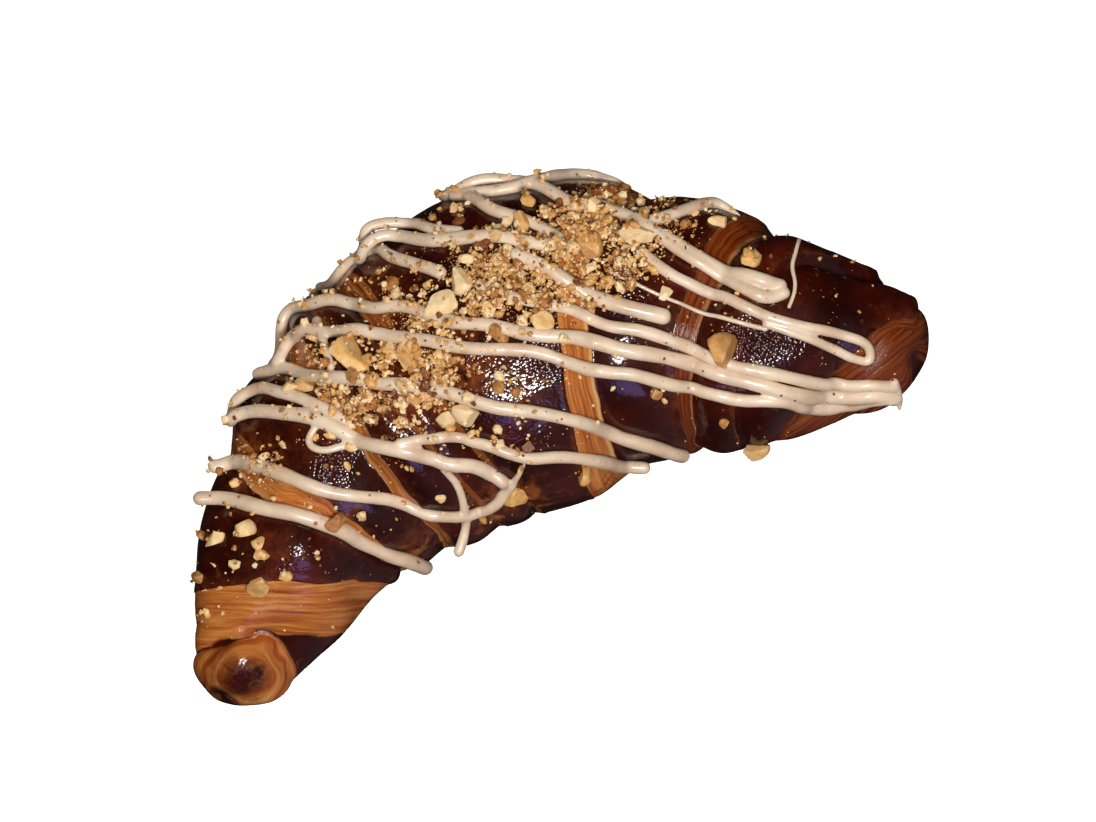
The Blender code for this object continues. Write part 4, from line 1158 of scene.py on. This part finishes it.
def icing_material(settings):
    """Set royal icing tinted beige: soft gloss, light let in a little, fine brown specks."""
    material, tree, shader = new_material("set_beige_icing")
    place = add(tree, "TexCoord", {}, output="Object")
    clouds = add(tree, "TexNoise", {"Vector": place, "Scale": 160.0, "Detail": 4.0})
    body = add(tree, "ValToRGB", {"Fac": clouds}, [
        (0.3, settings.shade_color), (0.6, settings.color)])
    # Specks up to 0.6 mm across, in one of seven cells of 1.9 mm
    specks = add(tree, "TexVoronoi", {"Vector": place, "Scale": 520.0}).node.outputs
    split = add(tree, "SeparateColor", {"Color": specks["Color"]})
    chosen = add(tree, "Math", {0: split, 1: 0.86}, operation="GREATER_THAN")
    small = add(tree, "MapRange", {"Value": specks["Distance"], "From Min": 0.1, "From Max": 0.2,
                                   "To Min": 1.0, "To Max": 0.0})
    speck = add(tree, "Math", {0: chosen, 1: small}, operation="MULTIPLY")
    colour = add(tree, "Mix", {0: speck, 6: body, 7: settings.speck_color}, **COLOURS)
    ripples = add(tree, "TexNoise", {"Vector": place, "Scale": 650.0, "Detail": 3.0})
    bump = add(tree, "Bump", {"Height": ripples, "Distance": 0.12 * MM, "Strength": 0.5})
    feed(shader, {"Base Color": colour, "Roughness": 0.4, "Coat Weight": 0.6,
                  "Coat Roughness": 0.12, "Subsurface Weight": 0.25,
                  "Subsurface Radius": (1.2 * MM, 0.8 * MM, 0.6 * MM), "Subsurface Scale": 1.0,
                  "Normal": bump, "Coat Normal": bump})
    return material


def nut_material(settings):
    """Dry-roasted nut: pale and waxy inside where chopped, tan to brown where roasted or skinned."""
    material, tree, shader = new_material("dry_roasted_nut")
    place = add(tree, "TexCoord", {}, output="Object")
    roast, skin = (add(tree, "Attribute", {}, output="Fac", attribute_name=name)
                   for name in ("roast", "skin"))
    grain = add(tree, "TexNoise", {"Vector": place, "Scale": 700.0, "Detail": 4.0,
                                   "Roughness": 0.65})
    varied = add(tree, "Math", {0: grain, 1: 0.5, 2: roast}, operation="MULTIPLY_ADD")
    flesh = add(tree, "ValToRGB", {"Fac": varied}, [
        (0.32, settings.pale_color), (0.58, settings.cream_color),
        (0.85, settings.tan_color), (1.0, settings.brown_color)])
    covered = add(tree, "Math", {0: skin, 1: roast}, operation="MULTIPLY")
    colour = add(tree, "Mix", {0: covered, 6: flesh, 7: settings.brown_color}, **COLOURS)
    bump = add(tree, "Bump", {"Height": grain, "Distance": 0.2 * MM, "Strength": 0.8})
    feed(shader, {"Base Color": colour, "Roughness": 0.5, "Subsurface Weight": 0.1,
                  "Subsurface Radius": (0.8 * MM, 0.5 * MM, 0.3 * MM), "Subsurface Scale": 1.0,
                  "Normal": bump})
    return material


# ---- Settings ----

def colour_property(name, description, text):
    """A colour setting with its default as sRGB hex."""
    return FloatVectorProperty(name=name, description=description, subtype="COLOR", size=3,
                               min=0, max=1, default=srgb(text))


class CrustSettings(bpy.types.PropertyGroup):
    """Colours and gloss of the dough."""
    dark_color: colour_property("Darkest crust", "Where the bake is darkest", "#1e0301")
    glaze_color: colour_property("Crust", "Glazed chocolate dough", "#320802")
    red_color: colour_property("Reddest crust", "Where the bake is redder", "#4e1306")
    warm_color: colour_property("Thin crust", "Brown that shows through the glaze", "#8c431a")
    # The darkest tone of a cut face: its toasted streaks, and the layer lines that are partly painted
    # shade in the grooves
    toast_and_groove_shade_color: colour_property("Toasted layers", "Darkest lines of a cut face", "#5b2409")
    layer_color: colour_property("Layers", "Butter layers on a cut face", "#a8541f")
    gold_color: colour_property("Golden layers", "Lighter layers", "#d08640")
    butter_color: colour_property("Lightest layers", "Palest streaks", "#e2b070")
    toast_color: colour_property("Toasting", "Multiplies a toasted cut face", "#a07a5a")
    gloss: FloatProperty(name="Roughness", description="Roughness of the glazed crust",
                         default=0.5, min=0, max=1, subtype="FACTOR")


class IcingSettings(bpy.types.PropertyGroup):
    """Colours of the icing and the fineness of its mesh."""
    color: colour_property("Icing", "Set icing", "#ebd5bb")
    shade_color: colour_property("Darker icing", "Clouds in the icing", "#d2b497")
    speck_color: colour_property("Specks", "Fine brown specks", "#6f4226")
    voxel: FloatProperty(name="Mesh size", description="Edge length of the icing's mesh",
                         default=0.3 * MM, min=0.2 * MM, max=2 * MM, subtype="DISTANCE",
                         unit="LENGTH")


class NutSettings(bpy.types.PropertyGroup):
    """Colours of the nuts and how they fall."""
    pale_color: colour_property("Palest nut", "Fresh cut", "#fadfb0")
    cream_color: colour_property("Cream nut", "Cut and dried", "#e9b56c")
    tan_color: colour_property("Tan nut", "Roasted", "#b27438")
    brown_color: colour_property("Brown nut", "Skin and dark roast", "#74401e")
    seed: IntProperty(name="Seed", description="Changes how the pieces fall", default=5, min=0)


class StageSettings(bpy.types.PropertyGroup):
    """The floor and the lights."""
    floor_color: colour_property("Floor", "Matt paper", "#f4f4f4")
    floor_glow: FloatProperty(name="Floor glow", description="How lit the paper is from below",
                              default=0.9, min=0, max=2)
    key: FloatProperty(name="Key light", description="Power of the front light", default=7.0,
                       min=0, unit="POWER")
    fill: FloatProperty(name="Fill light", description="Power of the light above", default=3.7,
                        min=0, unit="POWER")
    table_color: colour_property("Table in the glaze", "What the glaze mirrors from below",
                                 "#7d666c")
    dusk_color: colour_property("Blue in the glaze", "The cold strip low in front", "#9896f2")


# ---- Operators ----

class CROISSANT_OT_bake_crust(bpy.types.Operator):
    """Build the layered crust over the croissant's solid"""
    bl_idname = "croissant.bake_crust"
    bl_label = "Bake the crust"

    def execute(self, context):
        material = crust_material(context.scene.croissant_crust)
        angle = crust_columns()
        for name, rows in crust_pieces(angle).items():
            points, values = crust(rows, angle)
            count = rows.size
            ends = points[[0, -1]].mean(axis=1)
            if name != "crust_left":
                ends[0, 0] += END_DRAWN_IN
            if name != "crust_right":
                ends[1, 0] -= END_DRAWN_IN
            flat = {key: np.concatenate([value.reshape(count, *value.shape[2:]),
                                         value[[0, -1], 0]])
                    for key, value in values.items()}
            new_piece(name, np.concatenate([points.reshape(-1, 3), ends]),
                      closed_grid(rows.shape[0], COLUMNS, count, count + 1), flat, material)
        return {"FINISHED"}


class CROISSANT_OT_pipe_icing(bpy.types.Operator):
    """Pipe the icing over the crust in strands that melt into one another"""
    bl_idname = "croissant.pipe_icing"
    bl_label = "Pipe the icing"

    def execute(self, context):
        settings = context.scene.croissant_icing
        material = icing_material(settings)
        surface = surface_of(CRUST_PIECES)
        below = np.zeros((0, 4))
        tubes = {}
        for seed, (name, (points, widths)) in enumerate(strand_points(surface).items()):
            radii = uneven_radii(points, widths, TAPERS.get(name, (0, 0)), 200 + seed)
            path, normals = rest_on(points, radii, surface, below)
            below = np.concatenate([below, np.column_stack([path, radii])])
            tubes[name] = tube(path, normals, radii, TUBE_SIDES)
        for piece_name, strands in ICING_PIECES.items():
            points, polygons = joined([tubes.pop(name) for name in strands])
            piece = new_piece(piece_name, points, polygons, {}, material)
            self.melt(context, piece, settings.voxel)
        if tubes:
            raise RuntimeError("no piece takes the strands " + ", ".join(tubes))
        parts = []
        for seed, (name, strand) in enumerate(THREADS.items()):
            points = even_points(laid_strand(strand.route, surface), STRAND_STEP)
            radii = uneven_radii(points, [strand.start, strand.end], (0, 0), 300 + seed)
            path, normals = rest_on(points, radii, surface, np.zeros((0, 4)))
            parts.append(tube(path, normals, radii, THREAD_SIDES))
        points, polygons = joined(parts)
        new_piece("icing_threads", points, polygons, {}, material)
        return {"FINISHED"}

    def melt(self, context, piece, voxel):
        """Turn crossing tubes into one skin, smooth it, and let it settle unevenly."""
        remesh = piece.modifiers.new("melt", "REMESH")
        remesh.mode = "VOXEL"
        remesh.voxel_size = voxel
        remesh.use_smooth_shade = True
        smooth = piece.modifiers.new("settle", "SMOOTH")
        smooth.factor = 0.5
        smooth.iterations = 2
        seen = piece.evaluated_get(context.evaluated_depsgraph_get())
        melted = bpy.data.meshes.new_from_object(seen)
        piece.modifiers.clear()
        if len(melted.polygons) < 1000:
            raise RuntimeError("the icing's mesh came out empty")
        points = threes(melted.vertices, "co").astype(float)
        wave = RIPPLE * soft_noise(points, RIPPLE_LENGTH, 77)
        points = inside_box(points + threes(melted.vertices, "normal") * wave[:, None])
        melted.vertices.foreach_set("co", points.astype(np.float32).ravel())
        piece.data = melted


class CROISSANT_OT_scatter_nuts(bpy.types.Operator):
    """Lay the large nut pieces and scatter the smaller ones over the crust and the icing"""
    bl_idname = "croissant.scatter_nuts"
    bl_label = "Scatter the nuts"

    def execute(self, context):
        settings = context.scene.croissant_nuts
        material = nut_material(settings)
        draw = np.random.default_rng(settings.seed)
        carriers = [*CRUST_PIECES, *ICING_PIECES]
        spots = np.array(LARGE_NUTS)
        places, normals, kept = seen_places(spots, surface_of(carriers))
        sizes = spots[kept][:, [2, 3, 2]] * MM * LARGE_SCALE
        sizes[:, 2] = sizes[:, :2].mean(axis=1) * draw.uniform(*LARGE_THICKNESS, len(kept))
        points, faces, values = chopped(places, normals, sizes, spots[kept, 4],
                                        unit_ball(*LARGE_MESH), draw, cuts=8, closest=0.35,
                                        rough=0.05 * MM)
        large = new_piece("nut_pieces", points, faces, values, material)
        large.data.set_sharp_from_angle(angle=SHARP)
        sparser = ((surface_of(["nut_pieces"]), ON_NUTS), (surface_of(ICING_PIECES), ON_ICING))
        carriers.append("nut_pieces")
        for number, (name, (shortest, longest, mesh, sink)) in enumerate(SMALL_NUTS.items()):
            surface = surface_of(carriers)
            seen = seen_places(strewn_spots(number, draw), surface, sparser)
            far = far_places(FAR_COUNTS[number], surface, draw)
            places = np.concatenate([seen[0], far[0]])
            normals = np.concatenate([seen[1], far[1]])
            count = len(places)
            skewed = draw.uniform(0, 1, count) ** MORE_SHORT
            lengths = shortest * (longest / shortest) ** skewed * MM
            sizes = lengths[:, None] * np.stack([
                np.ones(count), draw.uniform(*SMALL_WIDTH, count),
                draw.uniform(*SMALL_THICKNESS, count)], -1)
            roast = draw.beta(*ROASTS, count)
            points, faces, values = chopped(places, normals, sizes, roast, unit_ball(*mesh), draw,
                                            tilt=0.6, sink=sink)
            new_piece(name, points, faces, values, material, smooth=False)
            carriers.append(name)
        return {"FINISHED"}


class CROISSANT_OT_set_stage(bpy.types.Operator):
    """Lay the floor, hang the lights and aim the camera"""
    bl_idname = "croissant.set_stage"
    bl_label = "Set the stage"

    def execute(self, context):
        settings = context.scene.croissant_stage
        self.lay_floor(settings)
        self.hang_lights(settings)
        self.darken_room(context, settings)
        self.aim_camera(context)
        return {"FINISHED"}

    def lay_floor(self, settings):
        """A sheet of matt white paper."""
        material, _, shader = new_material("matt_white_paper")
        feed(shader, {"Base Color": settings.floor_color, "Roughness": 0.9,
                      "Specular IOR Level": 0.2, "Emission Color": (1, 1, 1),
                      "Emission Strength": settings.floor_glow})
        mesh = bpy.data.meshes.new("floor")
        mesh.from_pydata([(x * FLOOR_HALF, y * FLOOR_HALF, 0)
                          for x, y in ((-1, -1), (1, -1), (1, 1), (-1, 1))], [], [(0, 1, 2, 3)])
        mesh.materials.append(material)
        floor = place_in_scene("floor", mesh)
        floor.visible_glossy = False
        floor.visible_diffuse = False

    def hang_lights(self, settings):
        """A soft window in front, a cold strip low under it, a wide fill above, a weak one behind.

        Each has its direction in degrees, its distance and sides in metres, its power in watts
        and its colour, and either lights the object, is mirrored in the glaze, or both.
        """
        for name, azimuth, elevation, far, wide, high, power, colour, lights, mirrored in (
            ("window", 0, 39, 0.9, 0.27, 0.15, settings.key, (1.0, 0.98, 0.95), True, True),
            ("fill", -20, 78, 1.1, 0.8, 0.8, settings.fill, (1.0, 0.98, 0.96), True, False),
            ("strip", -14, 8, 0.9, 0.6, 0.26, 1.3, settings.dusk_color, False, True),
            ("behind", 180, 30, 1.0, 0.6, 0.4, 1.6, (1.0, 0.98, 0.96), True, False),
        ):
            lamp = bpy.data.lights.new(name, "AREA")
            lamp.shape = "RECTANGLE"
            lamp.size = wide
            lamp.size_y = high
            lamp.energy = power
            lamp.color = colour
            turned, risen = math.radians(azimuth), math.radians(elevation)
            away = Vector((math.sin(turned) * math.cos(risen),
                           -math.cos(turned) * math.cos(risen), math.sin(risen)))
            light = place_in_scene(name, lamp)
            light.visible_diffuse = lights
            light.visible_glossy = mirrored
            light.location = SIGHT_TARGET + away * far
            light.rotation_euler = away.to_track_quat("Z", "Y").to_euler()

    def darken_room(self, context, settings):
        """What the glaze mirrors of the room: dark above and behind, and a mauve table below in
        front, darker towards the left."""
        world = bpy.data.worlds.new("room")
        world.use_nodes = True
        tree = world.node_tree
        parts = add(tree, "SeparateXYZ", {
            "Vector": add(tree, "TexCoord", {}, output="Generated")}).node.outputs
        below, right, front = (
            add(tree, "MapRange", {"Value": parts[axis], "From Min": none, "From Max": full,
                                   "To Min": least})
            for axis, none, full, least in (
                ("Z", 0.04, -0.1, 0.0), ("X", -0.6, 0.1, 0.1), ("Y", 0.1, -0.4, 0.0)))
        both = add(tree, "Math", {0: below, 1: right}, operation="MULTIPLY")
        table = add(tree, "Math", {0: both, 1: front}, operation="MULTIPLY")
        room = add(tree, "Mix", {0: table, 6: (0.014, 0.011, 0.011), 7: settings.table_color},
                   **COLOURS)
        feed(tree.nodes["Background"], {"Color": room})
        context.scene.world = world
        context.scene.view_settings.view_transform = "Standard"

    def aim_camera(self, context):
        """The photograph's own camera: from the front and above, turned about its sight line."""
        _, _, back, eye = sight_axes()
        right, above = picture_axes()
        lens = bpy.data.cameras.new("camera")
        lens.sensor_width = SENSOR
        lens.lens = SENSOR * SIGHT_DISTANCE / IMAGE_WIDTH
        lens.clip_start = 0.01
        camera = place_in_scene("camera", lens)
        placed = Matrix((right, above, back)).transposed().to_4x4()
        placed.translation = eye
        camera.matrix_world = placed
        context.scene.camera = camera


class CROISSANT_PT_panel(bpy.types.Panel):
    """The croissant's settings and the steps that make it"""
    bl_idname = "CROISSANT_PT_panel"
    bl_label = "Croissant"
    bl_space_type = "VIEW_3D"
    bl_region_type = "UI"
    bl_category = "Croissant"

    def draw(self, context):
        layout = self.layout
        for settings, step in zip(SETTINGS, STEPS):
            group = getattr(context.scene, settings)
            for name in group.__annotations__:
                layout.prop(group, name)
            layout.operator(step.bl_idname)


SETTINGS = {
    "croissant_crust": CrustSettings,
    "croissant_icing": IcingSettings,
    "croissant_nuts": NutSettings,
    "croissant_stage": StageSettings,
}
STEPS = (CROISSANT_OT_bake_crust, CROISSANT_OT_pipe_icing, CROISSANT_OT_scatter_nuts,
         CROISSANT_OT_set_stage)
CLASSES = (*SETTINGS.values(), *STEPS, CROISSANT_PT_panel)


def register():
    for kind in CLASSES:
        bpy.utils.register_class(kind)
    for name, kind in SETTINGS.items():
        setattr(bpy.types.Scene, name, PointerProperty(type=kind))


def unregister():
    for name in SETTINGS:
        delattr(bpy.types.Scene, name)
    for kind in reversed(CLASSES):
        bpy.utils.unregister_class(kind)


def main():
    register()
    bpy.ops.croissant.bake_crust()
    bpy.ops.croissant.pipe_icing()
    bpy.ops.croissant.scatter_nuts()
    bpy.ops.croissant.set_stage()


if __name__ == "__main__":
    main()
